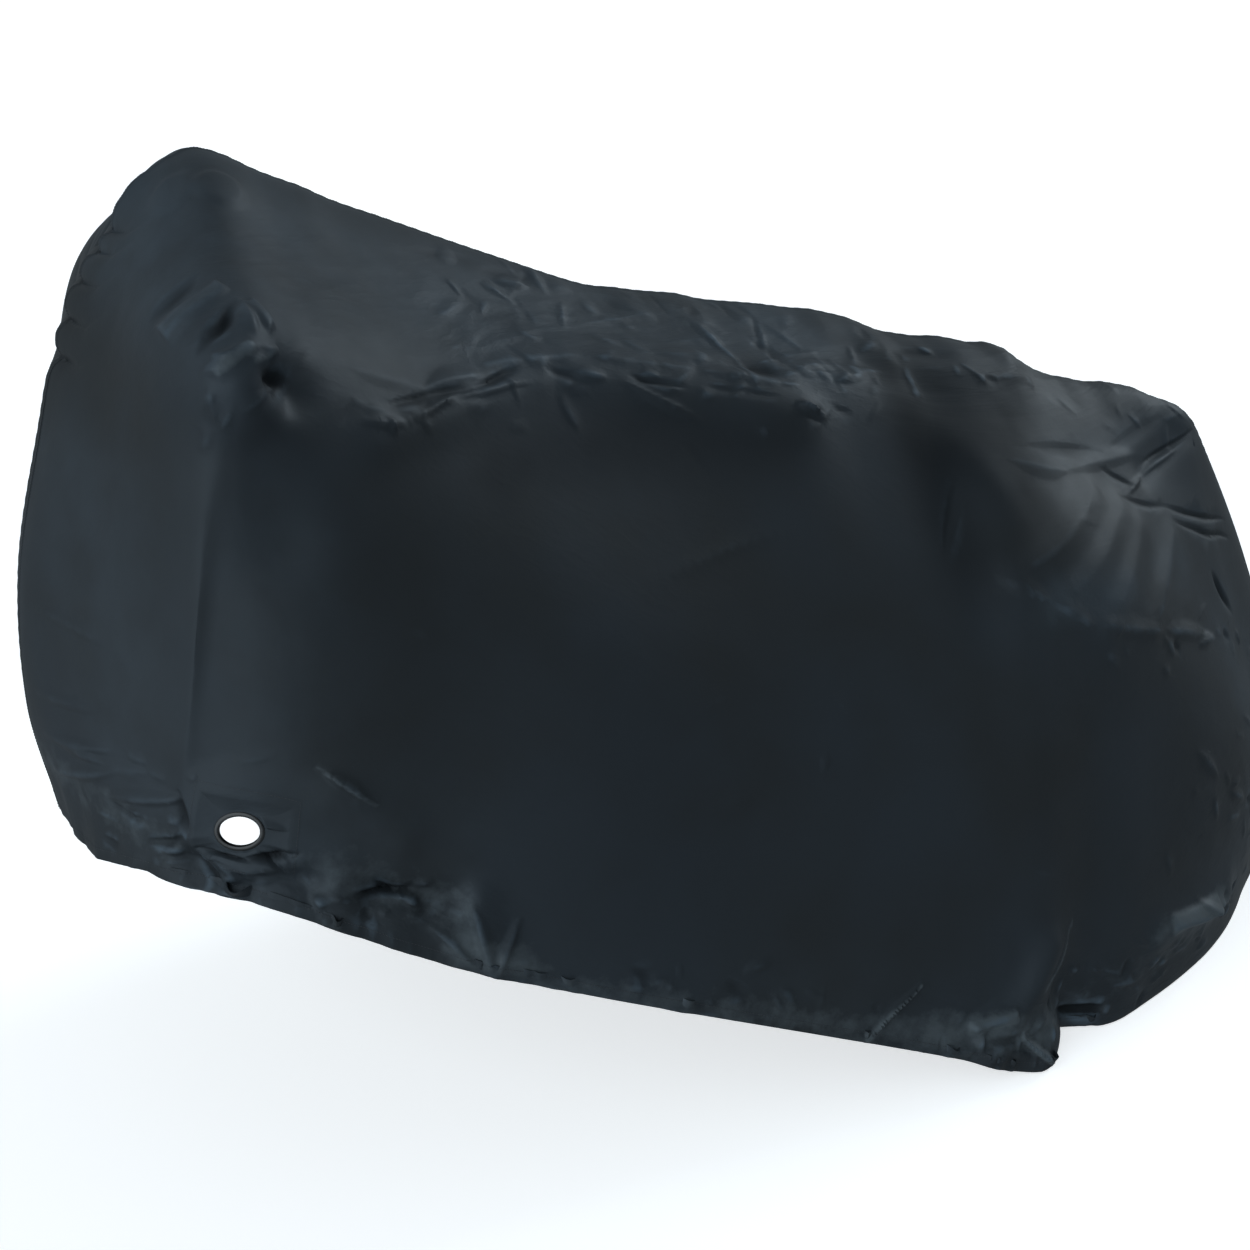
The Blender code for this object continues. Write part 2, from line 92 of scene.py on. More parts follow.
# Main folds, close to those of the solids: soft ridges (height above 0) and troughs (below 0) from
# one point to the other along x and z, as seen from the side.
FOLD_COLUMNS = ("side", "x0", "z0", "x1", "z1", "width", "height")
FOLDS = (
    (NEAR, 0.230, 1.060, 0.235, 1.062, 0.055, 0.030),    # blunt end pushing the cloth out
    (NEAR, 0.262, 1.048, 0.288, 1.030, 0.027, -0.024),   # hollow behind it
    (NEAR, 0.170, 1.070, 0.225, 1.120, 0.035, 0.003),    # tent fold above it
    (NEAR, 0.236, 1.175, 0.232, 1.130, 0.040, -0.005),   # slack between the hump and the blunt end
    (NEAR, 0.240, 0.960, 0.260, 0.860, 0.045, -0.010),   # shadowed fold below it
    (NEAR, 0.390, 0.960, 0.640, 0.965, 0.030, 0.010),    # shoulder fold, front half
    (NEAR, 0.700, 0.965, 1.010, 0.890, 0.030, 0.010),    # shoulder fold, middle
    (NEAR, 1.225, 0.905, 1.420, 0.872, 0.038, 0.012),    # steep side behind the middle
    (NEAR, 0.152, 0.960, 0.144, 0.480, 0.075, -0.012),   # soft corner down the front
    (NEAR, 1.335, 0.800, 1.262, 0.672, 0.030, 0.002),    # front edge of the rear facet
    (NEAR, 1.240, 0.860, 1.190, 0.740, 0.045, -0.006),   # shadowed dip in front of it
    (NEAR, 1.480, 0.718, 1.285, 0.665, 0.024, 0.007),    # rear flutes, side by side
    (NEAR, 1.530, 0.690, 1.350, 0.622, 0.024, 0.007),
    (NEAR, 1.560, 0.662, 1.425, 0.575, 0.024, 0.007),
    (NEAR, 1.643, 0.630, 1.530, 0.550, 0.024, 0.005),
    (NEAR, 1.780, 0.758, 1.630, 0.722, 0.020, -0.007),   # crease from the rear top corner
    (NEAR, 0.130, 0.462, 0.250, 0.450, 0.022, -0.016),   # dark crease under the eyelet
    (NEAR, 0.330, 0.430, 0.420, 0.410, 0.024, -0.014),   # next crease along the hem
    (NEAR, 0.300, 0.560, 0.370, 0.500, 0.030, 0.006),    # bright crease behind the eyelet
    (NEAR, 0.450, 0.400, 0.465, 0.310, 0.024, 0.008),    # hem pucker
    (NEAR, 1.160, 0.030, 1.270, 0.170, 0.026, 0.014),    # fold in the rear hem corner
    (NEAR, 1.300, 0.090, 1.340, 0.000, 0.030, -0.016),   # dark pocket behind the corner
    (NEAR, 1.500, 0.110, 1.680, 0.098, 0.030, 0.014),    # creased patch low at the rear
    (BOTH, 0.330, 1.220, 0.400, 1.190, 0.040, 0.006),    # slack humps along the top seam
    (BOTH, 0.850, 1.015, 0.930, 1.003, 0.035, 0.006),
    (BOTH, 1.150, 0.966, 1.190, 0.958, 0.030, 0.005),
    (BOTH, 1.260, 0.935, 1.300, 0.930, 0.030, -0.006),
    (BOTH, 1.430, 0.895, 1.450, 0.890, 0.028, 0.010),
    (BOTH, 1.520, 0.860, 1.540, 0.850, 0.025, -0.005),
    (BOTH, 1.640, 0.820, 1.680, 0.810, 0.030, 0.007),
    (FAR, 0.240, 1.060, 0.245, 1.060, 0.055, 0.010),     # the same on the far side
    (FAR, 0.420, 0.960, 0.660, 0.950, 0.035, 0.012),
    (FAR, 0.300, 0.800, 0.520, 0.560, 0.060, -0.014),
    (FAR, 0.800, 0.860, 1.040, 0.600, 0.060, 0.014),
    (FAR, 1.100, 0.700, 1.260, 0.300, 0.060, -0.014),
    (FAR, 1.400, 0.760, 1.560, 0.420, 0.050, 0.014),
    (FAR, 0.480, 0.420, 0.500, 0.300, 0.030, 0.012),
    (FAR, 1.200, 0.160, 1.260, 0.020, 0.030, 0.014),
)

# Creases too fine for the solids. sharp is 1 for a crisp crest, 0 for a soft one.
CREASE_COLUMNS = FOLD_COLUMNS + ("sharp",)
CREASES = (
    (NEAR, 0.246, 1.120, 0.198, 1.066, 0.009, -0.008, 0.8),   # dark folds beside the slab
    (NEAR, 0.222, 1.140, 0.168, 1.084, 0.007, -0.005, 0.8),
    (NEAR, 0.244, 1.120, 0.243, 1.080, 0.016, 0.008, 1.0),
    (NEAR, 0.234, 1.110, 0.214, 1.078, 0.008, -0.006, 0.9),
    (NEAR, 0.196, 1.050, 0.236, 1.074, 0.008, 0.007, 1.0),    # bright pleats under it
    (NEAR, 0.206, 1.068, 0.228, 1.060, 0.007, 0.005, 1.0),
    (NEAR, 0.238, 1.072, 0.275, 1.066, 0.008, 0.006, 1.0),
    (NEAR, 0.238, 1.052, 0.290, 1.044, 0.020, -0.015, 0.6),   # black hollow beside them
    (NEAR, 0.250, 1.040, 0.272, 1.034, 0.009, 0.007, 1.0),
    (NEAR, 0.366, 1.036, 0.480, 0.984, 0.020, 0.003, 0.6),    # crisp edge of the shoulder
    (NEAR, 0.465, 0.990, 0.565, 0.984, 0.016, 0.006, 0.9),
    (NEAR, 0.555, 0.992, 0.725, 0.976, 0.018, 0.006, 0.7),
    (NEAR, 0.715, 0.978, 0.880, 0.945, 0.016, 0.005, 0.7),
    (NEAR, 0.870, 0.946, 1.010, 0.918, 0.016, 0.005, 0.7),
    (NEAR, 0.395, 0.990, 0.545, 0.972, 0.009, -0.006, 0.8),   # black tucks under that edge
    (NEAR, 0.535, 0.974, 0.620, 0.978, 0.008, -0.007, 0.8),
    (NEAR, 0.650, 0.974, 0.715, 0.953, 0.007, -0.004, 0.8),
    (NEAR, 0.770, 0.952, 0.850, 0.930, 0.009, -0.007, 0.8),
    (NEAR, 0.870, 0.928, 0.990, 0.906, 0.008, -0.004, 0.8),
    (NEAR, 0.360, 0.979, 0.428, 0.961, 0.009, 0.006, 1.0),    # bright creases below the tucks
    (NEAR, 0.398, 0.976, 0.411, 0.951, 0.007, 0.006, 1.0),
    (NEAR, 0.420, 0.962, 0.520, 0.972, 0.008, 0.006, 1.0),
    (NEAR, 0.500, 0.970, 0.636, 0.960, 0.008, 0.005, 1.0),
    (NEAR, 0.690, 0.960, 0.742, 0.950, 0.012, 0.007, 0.9),
    (NEAR, 0.752, 0.950, 0.874, 0.886, 0.008, 0.007, 1.0),
    (NEAR, 0.785, 0.942, 0.850, 0.924, 0.010, 0.004, 1.0),
    (NEAR, 0.998, 0.900, 1.048, 0.878, 0.010, 0.011, 1.0),    # white pucker
    (NEAR, 1.006, 0.888, 1.046, 0.871, 0.006, -0.004, 0.7),
    (NEAR, 1.084, 0.914, 1.190, 0.902, 0.012, 0.006, 0.8),
    (NEAR, 1.220, 0.918, 1.340, 0.905, 0.012, -0.004, 0.6),
    (NEAR, 0.620, 1.080, 0.740, 1.048, 0.010, -0.0030, 0.5),  # wrinkles under the top seam
    (NEAR, 0.530, 1.112, 0.640, 1.080, 0.012, -0.0020, 0.5),
    (NEAR, 0.640, 1.064, 0.700, 1.050, 0.012, 0.006, 0.9),
    (NEAR, 0.824, 0.969, 0.921, 0.949, 0.012, 0.006, 0.8),
    (NEAR, 0.921, 0.949, 1.024, 0.930, 0.012, -0.007, 0.6),
    (NEAR, 0.742, 1.030, 0.715, 1.003, 0.010, 0.003, 0.9),
    (NEAR, 1.320, 0.797, 1.455, 0.751, 0.024, 0.006, 0.9),    # lower edge of the upper facet
    (NEAR, 1.435, 0.755, 1.645, 0.741, 0.020, 0.004, 0.9),
    (NEAR, 1.345, 0.806, 1.560, 0.757, 0.014, -0.003, 0.8),
    (NEAR, 1.555, 0.756, 1.740, 0.780, 0.014, -0.002, 0.8),
    (NEAR, 1.735, 0.734, 1.620, 0.712, 0.008, 0.005, 1.0),    # light line under the corner crease
    (NEAR, 1.635, 0.716, 1.565, 0.702, 0.008, 0.004, 1.0),
    (NEAR, 1.785, 0.752, 1.630, 0.727, 0.008, -0.006, 0.9),
    (NEAR, 1.528, 0.744, 1.600, 0.706, 0.007, -0.004, 0.9),   # paired fold marks
    (NEAR, 1.540, 0.706, 1.660, 0.665, 0.007, -0.004, 0.9),
    (NEAR, 1.640, 0.672, 1.830, 0.606, 0.008, -0.006, 0.9),
    (NEAR, 1.655, 0.650, 1.840, 0.576, 0.008, -0.006, 0.9),
    (NEAR, 1.500, 0.730, 1.275, 0.664, 0.024, 0.002, 0.6),    # crests of the rear flutes
    (NEAR, 1.545, 0.698, 1.340, 0.621, 0.024, 0.001, 0.6),
    (NEAR, 1.575, 0.672, 1.412, 0.572, 0.024, 0.001, 0.6),
    (NEAR, 1.655, 0.640, 1.520, 0.545, 0.024, 0.003, 0.6),
    (NEAR, 1.245, 0.668, 1.335, 0.618, 0.020, 0.006, 0.8),    # foot of the flutes
    (NEAR, 1.322, 0.624, 1.402, 0.576, 0.020, 0.006, 0.8),
    (NEAR, 1.390, 0.584, 1.555, 0.534, 0.020, 0.006, 0.8),
    (NEAR, 1.540, 0.541, 1.690, 0.488, 0.018, 0.006, 0.8),
    (NEAR, 1.640, 0.490, 1.705, 0.480, 0.014, 0.009, 0.9),    # small light triangle
    (NEAR, 1.735, 0.566, 1.790, 0.480, 0.012, -0.007, 0.7),
    (NEAR, 0.720, 0.732, 0.972, 0.764, 0.014, 0.0022, 0.7),   # faint straight crease
    (NEAR, 1.235, 0.790, 1.180, 0.690, 0.014, -0.0030, 0.7),
    (NEAR, 0.952, 0.490, 0.937, 0.472, 0.010, 0.004, 0.9),
    (NEAR, 0.842, 0.248, 0.790, 0.240, 0.012, 0.006, 0.9),
    (NEAR, 0.782, 0.461, 0.841, 0.455, 0.010, 0.003, 0.9),
    (NEAR, 0.960, 0.106, 1.065, 0.172, 0.007, 0.009, 1.0),    # straight crease near the hem
    (NEAR, 1.205, 0.064, 1.262, 0.004, 0.010, 0.011, 1.0),    # ridge down to the hem corner
    (NEAR, 1.110, 0.084, 1.212, 0.104, 0.020, 0.010, 0.9),
    (NEAR, 1.150, 0.066, 1.215, 0.062, 0.012, -0.008, 0.8),
    (NEAR, 1.250, 0.118, 1.325, 0.185, 0.007, 0.006, 1.0),
    (NEAR, 1.180, 0.040, 1.235, 0.022, 0.010, 0.007, 0.9),
    (NEAR, 1.320, 0.036, 1.400, 0.028, 0.018, -0.014, 0.6),   # black pocket behind the corner
    (NEAR, 1.400, 0.060, 1.470, 0.058, 0.012, 0.008, 0.9),
    (NEAR, 1.495, 0.122, 1.690, 0.092, 0.022, 0.011, 0.9),    # creased patch low at the rear
    (NEAR, 1.580, 0.140, 1.660, 0.070, 0.012, 0.007, 0.9),
    (NEAR, 1.593, 0.360, 1.650, 0.300, 0.014, 0.006, 0.9),
    (NEAR, 1.680, 0.270, 1.735, 0.232, 0.014, 0.006, 0.9),
    (NEAR, 0.186, 0.536, 0.240, 0.518, 0.009, 0.006, 1.0),    # pulls beside the eyelet
    (NEAR, 0.272, 0.598, 0.345, 0.534, 0.012, 0.010, 1.0),
    (NEAR, 0.122, 0.482, 0.200, 0.478, 0.010, -0.012, 0.8),   # black folds under it
    (NEAR, 0.126, 0.474, 0.160, 0.436, 0.009, -0.010, 0.8),
    (NEAR, 0.188, 0.482, 0.255, 0.490, 0.010, -0.012, 0.8),
    (NEAR, 0.165, 0.462, 0.240, 0.470, 0.010, 0.008, 0.9),
    (NEAR, 0.118, 0.560, 0.132, 0.500, 0.014, -0.008, 0.7),
    (NEAR, 0.298, 0.430, 0.400, 0.424, 0.012, -0.013, 0.8),
    (NEAR, 0.330, 0.446, 0.362, 0.420, 0.009, -0.009, 0.8),
    (NEAR, 0.310, 0.424, 0.385, 0.414, 0.010, 0.007, 0.9),
    (NEAR, 0.465, 0.300, 0.440, 0.410, 0.014, 0.009, 0.9),    # pulls running up from the hem
    (NEAR, 0.465, 0.300, 0.385, 0.384, 0.014, 0.009, 0.9),
    (NEAR, 0.465, 0.300, 0.505, 0.378, 0.012, 0.008, 0.9),
    (NEAR, 0.465, 0.300, 0.420, 0.360, 0.010, -0.007, 0.9),
    (NEAR, 0.018, 0.709, 0.080, 0.705, 0.014, 0.005, 0.6),    # creases off the front seam
    (NEAR, 0.010, 0.596, 0.066, 0.620, 0.012, 0.006, 0.8),
    (NEAR, 0.012, 0.540, 0.073, 0.578, 0.012, 0.007, 0.8),
    (NEAR, 0.018, 0.496, 0.073, 0.552, 0.012, 0.007, 0.8),
    (NEAR, 0.060, 0.510, 0.130, 0.552, 0.014, 0.009, 0.9),
    (NEAR, 0.085, 0.470, 0.125, 0.500, 0.010, -0.007, 0.9),
)

# Small flat plates in the crumpled cloth, with crisp edges: height, and how pale a highlight is painted
# on each.
PLATE_COLUMNS = FOLD_COLUMNS + ("pale",)
PLATES = (
    (NEAR, 0.236, 1.130, 0.177, 1.077, 0.005, 0.0070, 0.30),   # slanted slab over the blunt end
    (NEAR, 0.252, 1.112, 0.262, 1.086, 0.006, 0.0060, 0.24),   # its neighbour
    (NEAR, 0.210, 1.052, 0.238, 1.072, 0.004, 0.0050, 0.60),   # pleats below them
    (NEAR, 0.234, 1.060, 0.264, 1.067, 0.003, 0.0040, 0.60),
    (NEAR, 1.520, 0.121, 1.640, 0.108, 0.014, 0.0040, 0.26),   # patch low at the rear
    (NEAR, 1.130, 0.087, 1.200, 0.096, 0.008, 0.0050, 0.36),   # beside the rear hem corner
    (NEAR, 1.210, 0.062, 1.266, 0.006, 0.004, 0.0060, 1.00),
    (NEAR, 0.970, 0.112, 1.060, 0.168, 0.002, 0.0030, 0.80),   # straight crease near the hem
)
PLATE_EDGE = 0.007

# Round knobs pressing the cloth out at the hump: a low disc with a soft edge.
KNOB_COLUMNS = ("side", "x", "y", "z", "radius", "height")
KNOBS = (
    (NEAR, 0.226, 0.015, 1.214, 0.034, 0.003),
    (NEAR, 0.288, -0.012, 1.218, 0.034, 0.004),
)
KNOB_EDGE = 0.009

# Bands of small chance creases: how many lie scattered about a line, how far off it they stray,
# how long they are, how high, and the turn of most of them from the level.
BAND_COLUMNS = ("side", "x0", "z0", "x1", "z1", "count", "spread", "length", "height", "turn")
BANDS = (
    (NEAR, 0.340, 0.985, 1.080, 0.905, 34, 0.020, 0.050, 0.0024, -15),   # shoulder line
    (NEAR, 0.560, 1.055, 1.100, 0.945, 60, 0.028, 0.060, 0.0022, -12),   # top, middle
    (NEAR, 1.080, 0.935, 1.420, 0.880, 22, 0.022, 0.046, 0.0022, -25),   # top, behind the middle
    (NEAR, 1.450, 0.830, 1.760, 0.770, 12, 0.020, 0.045, 0.0013, -30),
    (NEAR, 0.150, 1.060, 0.300, 1.050, 10, 0.030, 0.040, 0.0024, 60),    # round the blunt end
    (NEAR, 0.060, 0.500, 0.130, 0.540, 16, 0.030, 0.036, 0.0036, 40),    # front foot
    (NEAR, 0.100, 0.455, 0.420, 0.410, 34, 0.018, 0.045, 0.0045, -10),   # under the eyelet
    (NEAR, 0.420, 0.330, 1.000, 0.130, 30, 0.020, 0.050, 0.0034, -35),   # side hem
    (NEAR, 1.050, 0.080, 1.330, 0.050, 26, 0.030, 0.055, 0.0050, 40),    # rear hem corner
    (NEAR, 1.350, 0.050, 1.750, 0.090, 30, 0.030, 0.050, 0.0046, 25),    # rear hem
    (NEAR, 1.600, 0.300, 1.850, 0.200, 16, 0.060, 0.055, 0.0036, -35),
    (NEAR, 0.400, 0.700, 1.300, 0.450, 12, 0.150, 0.080, 0.0010, -20),   # quiet side
    (NEAR, 1.250, 0.640, 1.820, 0.420, 14, 0.020, 0.045, 0.0030, -25),   # foot of the rear facet
    (FAR, 0.300, 0.990, 1.100, 0.900, 50, 0.030, 0.065, 0.0040, -15),
    (FAR, 0.500, 1.060, 1.700, 0.780, 60, 0.030, 0.060, 0.0034, -20),
    (FAR, 0.100, 0.450, 1.250, 0.060, 70, 0.025, 0.055, 0.0040, 30),
    (FAR, 1.300, 0.050, 1.850, 0.080, 40, 0.030, 0.055, 0.0040, 25),
    (FAR, 0.300, 0.750, 1.600, 0.400, 40, 0.160, 0.100, 0.0020, -20),
)
BAND_SEED = 11
CELLS = 64                   # cells after which noise and crumple repeat

CHANCE_TURN = 32             # spread of the turns of chance creases, in degrees
CHANCE_UP = 0.80             # share of them that are ridges
CHANCE_LENGTHS = (0.35, 1.0)
CHANCE_HEIGHTS = (0.4, 1.3)
CHANCE_WIDTHS = (0.006, 0.014)
CHANCE_SHARPNESS = (0.3, 1.0)

SEAM_FADE = 0.05             # how far from the top seam a side's folds have their full height
LEAN = 0.55                  # width of a crease's face that looks down, as a share of the other
CREST_ROUND, FOOT_ROUND = 0.06, 0.12
# Scallops up the front seam: the heights of the notches, and how wide, deep and far in they are.
NOTCHES = (1.005, 1.052, 1.098, 1.135, 1.160)
NOTCH_WIDTH, NOTCH_DEPTH, NOTCH_RISE = 0.013, 0.016, 0.50
NOTCH_POINT = 1.4            # how sharply a notch comes to a point
NOTCH_LEVEL = 0.070          # how far round from the seam a notch runs level before it rises
NOTCH_REACH = {NEAR: 0.060, FAR: 0.16}
# The gathered front of the hem: where its ripples end, how far apart, deep and high they are, and
# over what length they fade out.
GATHER_TO, GATHER_PITCH, GATHER_DEPTH, GATHER_RISE = 0.50, 0.075, 0.0015, 0.09
GATHER_FADE = 0.10
# The crumple of that front part, its height, how far up it reaches, and its cells.
FRILL_HEIGHT, FRILL_RISE, FRILL_CELL = 0.0012, 0.035, (0.012, 0.05)
# The tuck at the rear hem corner: where it is, how wide, how far it lifts and how far up it goes.
TUCK_X, TUCK_WIDTH, TUCK_LIFT, TUCK_RISE = 1.305, 0.028, 0.028, 0.10
# Large folds begin at CALM_START times this distance from the eyelet's middle, and are full one
# such distance farther out. Creases begin at RING_REACH and are full RING_FADE farther out.
EYELET_CALM, CALM_START = 0.060, 0.6
RING_REACH, RING_FADE = 0.030, 0.025

# The eyelet: the bore's length and height, its wall, and the thickness of the strip round it.
BORE_LONG, BORE_HIGH = 0.050, 0.038
RING_WALL = 0.0015
PATCH_SOLID = 0.003


def section_points(row, side):
    """The six level points of one section, hem to seam, on one side."""
    s = dict(zip(COLUMNS, row))
    scale = FAR_WIDTH if side == FAR else 1.0
    x = [s["x_hem"], s["x_hem"] + LOW * (s["x_sh"] - s["x_hem"]) + s["bow"],
         s["x_hem"] + MID * (s["x_sh"] - s["x_hem"]) + s["bow"], s["x_sh"],
         (s["x_sh"] + s["x_top"]) / 2 + s["bow_top"], s["x_top"]]
    z = [s["z_hem"], s["z_hem"] + LOW * (s["z_sh"] - s["z_hem"]),
         s["z_hem"] + MID * (s["z_sh"] - s["z_hem"]), s["z_sh"],
         s["z_sh"] + CROWN * (s["z_top"] - s["z_sh"]), s["z_top"]]
    w = [s["w_hem"], s["w_low"], s["w_mid"], s["w_sh"], s["w_sh"] / 2, 0.0]
    points = []
    for px, pz, pw in zip(x, z, w):
        rise = (pz - s["z_hem"]) / (s["z_top"] - s["z_hem"])
        middle = s["centre"] * (0.5 + 0.5 * rise)
        points.append((px, middle + side * pw * scale, pz))
    return points


def smooth(points, before, after, at):
    """A Catmull-Rom curve through points (first axis), read at the places in at."""
    chain = np.concatenate(([before], points, [after]))
    k = np.minimum(at.astype(int), len(points) - 2)
    t = (at - k).reshape((-1,) + (1,) * (points.ndim - 1))
    a, b, c, d = chain[k], chain[k + 1], chain[k + 2], chain[k + 3]
    return 0.5 * (2 * b + (c - a) * t + (2 * a - 5 * b + 4 * c - d) * t ** 2
                  + (3 * b - a - 3 * c + d) * t ** 3)


def draped_surface(along, up):
    """Both sides as grids of points, [column][row], with one shared seam and no folds yet."""
    nets = {side: np.array([section_points(row, side) for row in SECTIONS])
            for side in SIDES}
    long = {side: smooth(nets[side], nets[-side][1], nets[-side][-2], along)
            for side in SIDES}
    grids = {}
    for side in SIDES:
        net = long[side].transpose(1, 0, 2)
        grids[side] = smooth(net, 2 * net[0] - net[1], long[-side][:, -2], up).transpose(1, 0, 2)
    return grids


def grid_normals(grids):
    """Outward unit normals of both grids, shared along the seam."""
    normals = {}
    for side, grid in grids.items():
        normals[side] = np.cross(np.gradient(grid, axis=0), np.gradient(grid, axis=1)) * -side
        size = np.linalg.norm(normals[side], axis=2, keepdims=True)
        normals[side] /= np.maximum(size, 1e-12)
    for edge in (np.s_[0, :], np.s_[-1, :], np.s_[:, -1]):
        shared = normals[NEAR][edge] + normals[FAR][edge]
        normals[NEAR][edge] = shared
        normals[FAR][edge] = shared
    for side in SIDES:
        field = normals[side]
        for end, inside in ((0, 1), (-1, -2)):
            field[end, -1] = sum(n / np.linalg.norm(n) for n in (field[end, -2], field[inside, -1]))
        normals[side] = field / np.linalg.norm(field, axis=2, keepdims=True)
    return normals


def listed(columns, rows, side):
    """The rows of a table that are meant for this side, as dictionaries."""
    named = [dict(zip(columns, row)) for row in rows]
    return [row for row in named if row["side"] == side]


def ease(t):
    """0 to 1 with level ends."""
    t = np.clip(t, 0.0, 1.0)
    return t * t * (3 - 2 * t)


def run_length(grid, axis):
    """Distance along a grid line from its first point, for every point of the grid."""
    steps = np.linalg.norm(np.diff(grid, axis=axis), axis=2)
    shape = list(steps.shape)
    shape[axis] = 1
    return np.concatenate((np.zeros(shape), np.cumsum(steps, axis=axis)), axis=axis)


def line_frame(x, z, fold, reach):
    """Which points lie near a fold's line, and their places along it (0 to 1) and across it."""
    run_x, run_z = fold["x1"] - fold["x0"], fold["z1"] - fold["z0"]
    size = run_x ** 2 + run_z ** 2
    near = ((x > min(fold["x0"], fold["x1"]) - reach) & (x < max(fold["x0"], fold["x1"]) + reach)
            & (z > min(fold["z0"], fold["z1"]) - reach) & (z < max(fold["z0"], fold["z1"]) + reach))
    away_x, away_z = x[near] - fold["x0"], z[near] - fold["z0"]
    along = (away_x * run_x + away_z * run_z) / size
    return near, along, (away_z * run_x - away_x * run_z) / math.sqrt(size), math.sqrt(size)


def add_fold(height, x, z, fold):
    """Add one soft ridge or trough, with round ends, to a height field."""
    near, along, across, size = line_frame(x, z, fold, fold["width"] * 4)
    past = (along - np.clip(along, 0.0, 1.0)) * size
    height[near] += fold["height"] * np.exp(-(across ** 2 + past ** 2) / fold["width"] ** 2)


def add_crease(height, x, z, fold):
    """Add one crease with pointed ends and two flat faces, the one that looks down the steeper."""
    near, along, across, _ = line_frame(x, z, fold, fold["width"] * 1.2)
    across /= fold["width"]
    looks_down = across * (fold["x1"] - fold["x0"]) * fold["height"] < 0
    across = np.where(looks_down, across / LEAN, across)
    leaf = 1 - (2 * along - 1) ** 2
    face = np.maximum(leaf + CREST_ROUND - np.hypot(across, CREST_ROUND), 0.0)
    crisp = face ** 2 / (face + FOOT_ROUND)
    soft = np.exp(-2 * across ** 2) * np.clip(leaf, 0.0, 1.0)
    height[near] += fold["height"] * ((1 - fold["sharp"]) * soft + fold["sharp"] * crisp)


def add_plate(height, x, z, plate):
    """Add one flat plate with crisp edges."""
    near, along, across, size = line_frame(x, z, plate, plate["width"] * 2 + PLATE_EDGE)
    inside = np.minimum(plate["width"] - np.abs(across), size * (0.5 - np.abs(along - 0.5)))
    height[near] += plate["height"] * ease(inside / PLATE_EDGE + 0.5)


def chance_creases(side):
    """The small creases of every band of one side, as fold rows."""
    rng = np.random.default_rng(BAND_SEED + side)
    folds = []
    for band in listed(BAND_COLUMNS, BANDS, side):
        for _ in range(band["count"]):
            place = rng.random()
            x = band["x0"] + place * (band["x1"] - band["x0"]) + rng.normal(0, band["spread"])
            z = band["z0"] + place * (band["z1"] - band["z0"]) + rng.normal(0, band["spread"])
            turn = math.radians(band["turn"] + rng.normal(0, CHANCE_TURN))
            half = band["length"] * rng.uniform(*CHANCE_LENGTHS) / 2
            height = band["height"] * rng.uniform(*CHANCE_HEIGHTS)
            height *= 1 if rng.random() < CHANCE_UP else -1
            folds.append({"x0": x - half * math.cos(turn), "z0": z - half * math.sin(turn),
                          "x1": x + half * math.cos(turn), "z1": z + half * math.sin(turn),
                          "width": rng.uniform(*CHANCE_WIDTHS), "height": height,
                          "sharp": rng.uniform(*CHANCE_SHARPNESS)})
    return folds


def cell(x, y):
    """The cell that each point lies in, as two whole numbers."""
    return np.floor(x).astype(int), np.floor(y).astype(int)


def noise(x, y, seed):
    """Smooth noise from -1 to 1, one cell to a unit of x and y."""
    table = np.random.default_rng(seed).uniform(-1, 1, (CELLS, CELLS))
    i, j = cell(x, y)
    u, v = ease(x - i), ease(y - j)
    edges = [(1 - v) * table[k % CELLS, j % CELLS] + v * table[k % CELLS, (j + 1) % CELLS]
             for k in (i, i + 1)]
    return (1 - u) * edges[0] + u * edges[1]


def crumple(x, y, seed):
    """Bowls about scattered points with a sharp ridge where two meet, one cell to a unit."""
    spots = np.random.default_rng(seed).uniform(0.1, 0.9, (CELLS, CELLS, 2))
    i, j = cell(x, y)
    nearest = np.ones(x.shape)
    for a in (-1, 0, 1):
        for b in (-1, 0, 1):
            spot = spots[(i + a) % CELLS, (j + b) % CELLS]
            apart = (x - i - a - spot[..., 0]) ** 2 + (y - j - b - spot[..., 1]) ** 2
            nearest = np.minimum(nearest, apart)
    return nearest


# ------------------------------------------------------------------ the folded cloth

# Grid columns in each span between sections, and rows in each span between levels. Decimation
# then thins each side to its count of triangles, which stay closest together along the creases.
COLUMN_COUNTS = (48, 44, 36, 40, 56, 52, 52, 44, 36, 32, 32, 36, 36, 48, 44, 48)
ROW_COUNTS = {NEAR: (48, 36, 44, 56, 56), FAR: (40, 28, 32, 40, 40)}
WINDOW_SPAN = 3              # the span of columns that the lock strip's window takes up
SKIN_TRIANGLES = {NEAR: 95000, FAR: 70000}

